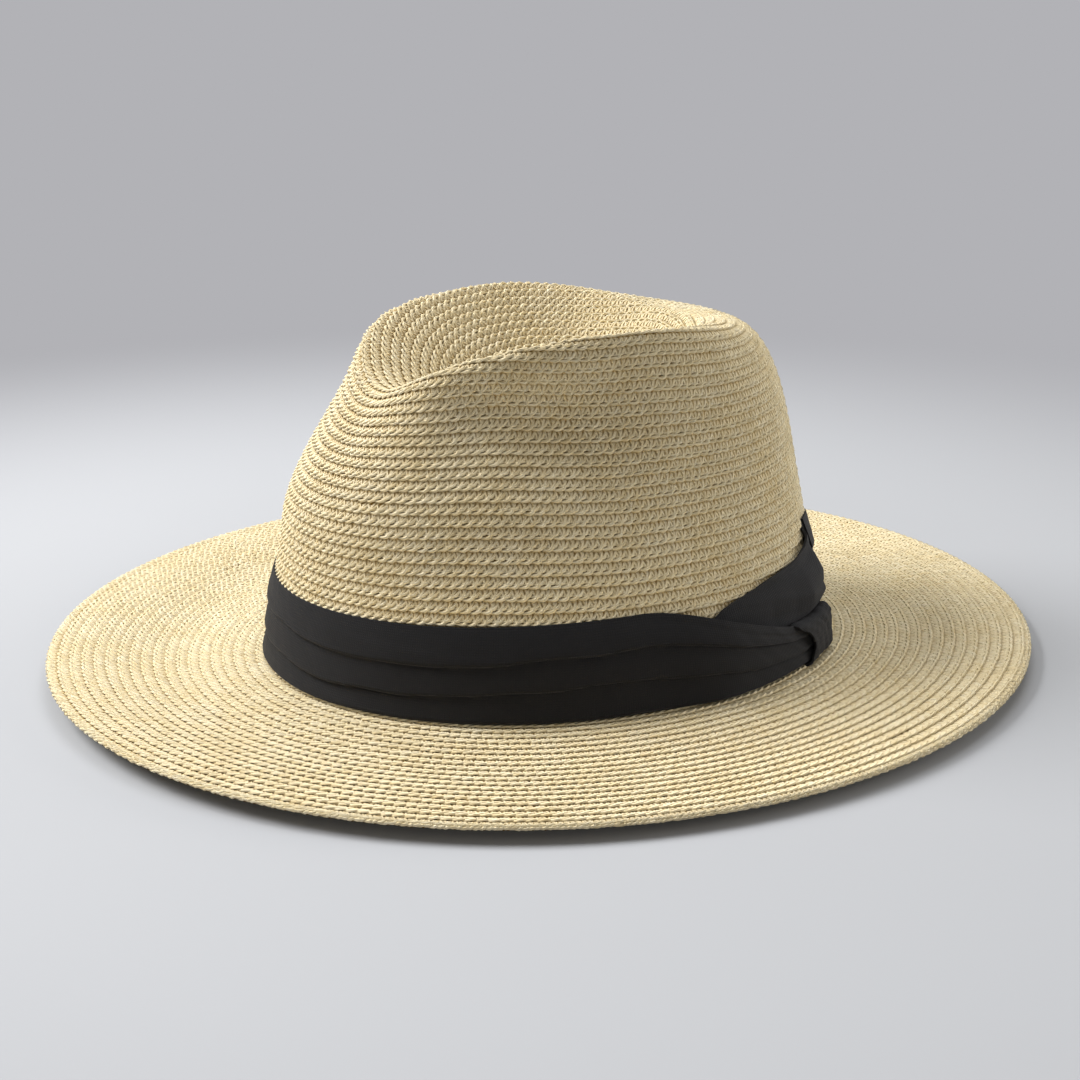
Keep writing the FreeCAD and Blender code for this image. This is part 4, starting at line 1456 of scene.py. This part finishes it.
@dataclass
class Studio:
    """Camera, floor, backdrop and lights."""

    azimuth: float = 62.0
    elevation: float = 17.618
    distance: float = 0.578761
    height: float = 0.033441
    shift: float = -0.002768
    lens: float = 55.0
    world_light: float = 0.225
    backdrop_colour: tuple = (0.445, 0.445, 0.468)
    floor_near: float = 0.22
    floor_far: float = 0.62

    def camera(self) -> None:
        """Camera at the asked view."""
        side, up_angle = math.radians(self.azimuth), math.radians(self.elevation)
        back = toward_view(side, up_angle)
        right = Vector((math.cos(side), math.sin(side), 0.0))
        up = back.cross(right)
        data = bpy.data.cameras.new("camera")
        data.lens = self.lens
        data.sensor_width = 36.0
        data.clip_start = 0.01
        camera = bpy.data.objects.new("camera", data)
        place = Vector((0.0, 0.0, self.height)) + right * self.shift + back * self.distance
        turn = Matrix((right, up, back)).transposed().to_4x4()
        camera.matrix_world = Matrix.Translation(place) @ turn
        bpy.context.collection.objects.link(camera)
        bpy.context.scene.camera = camera

    def lamp(self, name: str, turn: float, rise: float, away: float, size: float, power: float,
             colour: tuple = (1.0, 1.0, 1.0)) -> None:
        """Square lamp that faces the hat.

        Args:
            name: name of the lamp.
            turn: degrees from the camera, growing to its right.
            rise: degrees over the floor.
            away: distance from the hat.
            size: side of the lamp.
            power: its power in watts.
            colour: its colour.
        """
        angle = math.radians(self.azimuth + turn)
        lift = math.radians(rise)
        toward = toward_view(angle, lift)
        data = bpy.data.lights.new(name, "AREA")
        data.size = size
        data.energy = power
        data.color = colour
        lamp = bpy.data.objects.new(name, data)
        lamp.location = Vector((0.0, 0.0, 0.05)) + toward * away
        lamp.rotation_euler = toward.to_track_quat("Z", "Y").to_euler()
        bpy.context.collection.objects.link(lamp)

    def backdrop(self) -> None:
        """Pale floor that fades into the even colour behind it, with no edge."""
        deselect()
        bpy.ops.mesh.primitive_plane_add(size=60.0, location=(0.0, 0.0, 0.0))
        floor = name_new("studio_floor")
        settle(floor)
        sheet = NodeSheet("studio_floor")
        sheet.set(ROUGHNESS=0.9, SPECULAR=0.1)
        cloud = sheet.noise(sheet.scaled("Object"), 0.8, 1.0)
        shades = [(0.0, (0.40, 0.412, 0.438)), (1.0, (0.43, 0.442, 0.468))]
        sheet.link(sheet.ramp(cloud, shades), Socket.COLOUR)
        away = sheet.node("VectorMath", {0: sheet.coordinates.outputs["Object"]},
                          operation="LENGTH")
        fade = sheet.node("MapRange", {"From Min": self.floor_near, "From Max": self.floor_far,
                                       "Value": away.outputs["Value"]},
                          interpolation_type="SMOOTHSTEP")
        even = sheet.node("Emission", {"Color": (*self.backdrop_colour, 1.0)})
        path = sheet.node("LightPath", {})
        share = sheet.maths("MULTIPLY", fade.outputs["Result"], path.outputs["Is Camera Ray"])
        mix = sheet.node("MixShader", {"Fac": share, 1: sheet.shader.outputs["BSDF"],
                                       2: even.outputs["Emission"]})
        surface = sheet.tree.nodes["Material Output"].inputs["Surface"]
        sheet.tree.links.new(mix.outputs["Shader"], surface)
        dress(floor, sheet.material)

    def world(self) -> None:
        """Even light from all round, and the colour behind the floor."""
        world = bpy.data.worlds.new("studio")
        bpy.context.scene.world = world
        world.use_nodes = True
        tree = world.node_tree
        light = tree.nodes["Background"]
        light.inputs["Color"].default_value = (1.0, 0.965, 0.90, 1.0)
        light.inputs["Strength"].default_value = self.world_light
        seen = tree.nodes.new("ShaderNodeBackground")
        seen.inputs["Color"].default_value = (*self.backdrop_colour, 1.0)
        path = tree.nodes.new("ShaderNodeLightPath")
        mix = tree.nodes.new("ShaderNodeMixShader")
        tree.links.new(path.outputs["Is Camera Ray"], mix.inputs["Fac"])
        tree.links.new(light.outputs["Background"], mix.inputs[1])
        tree.links.new(seen.outputs["Background"], mix.inputs[2])
        tree.links.new(mix.outputs["Shader"], tree.nodes["World Output"].inputs["Surface"])

    def build(self) -> None:
        """Sets up the whole studio."""
        self.camera()
        self.backdrop()
        self.world()
        self.lamp("key", -100.0, 42.0, 1.6, 0.9, 39.0, (1.0, 0.99, 0.975))
        self.lamp("top", 170.0, 72.0, 1.7, 1.2, 13.5)
        self.lamp("fill", 104.0, 10.0, 1.8, 1.2, 18.5, (1.0, 0.98, 0.94))
        self.lamp("front", 12.0, 8.0, 1.9, 1.2, 8.0, (1.0, 0.97, 0.92))


def main() -> None:
    """Builds the hat and its studio."""
    logging.basicConfig(level=logging.INFO, format="%(name)s: %(message)s")
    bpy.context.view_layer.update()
    bpy.context.scene.view_settings.view_transform = "Standard"
    Studio().build()
    shape = HatShape()
    straw = StrawFinish().material()
    cloth = ClothFinish("band_cloth", (0.0032, 0.0033, 0.0046), (0.0085, 0.0087, 0.0115),
                        sheen=0.07, sheen_tint=(0.7, 0.7, 0.75, 1.0)).material()
    label = ClothFinish("label_cloth", (0.70, 0.69, 0.66), (0.86, 0.85, 0.82),
                        sheen_tint=(1, 1, 1, 1)).material()
    ribbon = RibbonFinish("sweat_ribbon", (0.62, 0.53, 0.36), (0.42, 0.34, 0.22)).material()
    loops = PileFinish("loop_tape", (0.60, 0.51, 0.36), (0.34, 0.28, 0.18)).material()
    hooks = PileFinish("hook_tape", (0.56, 0.47, 0.32), (0.30, 0.24, 0.15), 0.0016).material()
    StrawBody(shape, Braid()).build(straw)
    band = HatBand(shape)
    band.build(cloth)
    Lining(shape).build(ribbon, loops, hooks, label)
    straw_thread = ThreadFinish("straw_thread", (0.66, 0.54, 0.33), (0.42, 0.33, 0.18)).material()
    black_thread = ThreadFinish("black_thread", (0.012, 0.012, 0.015),
                                (0.004, 0.004, 0.005)).material()
    wire = MetalFinish("wire", (0.56, 0.56, 0.57)).material()
    EdgeWork(shape, band).build(straw_thread, black_thread, wire)
    sleeve = MetalFinish("sleeve", (0.60, 0.43, 0.18), 0.4).material()
    KeptParts({"sweatband_stitches": straw_thread, "wire_sleeve": sleeve}).dress()


if __name__ == "__main__":
    main()
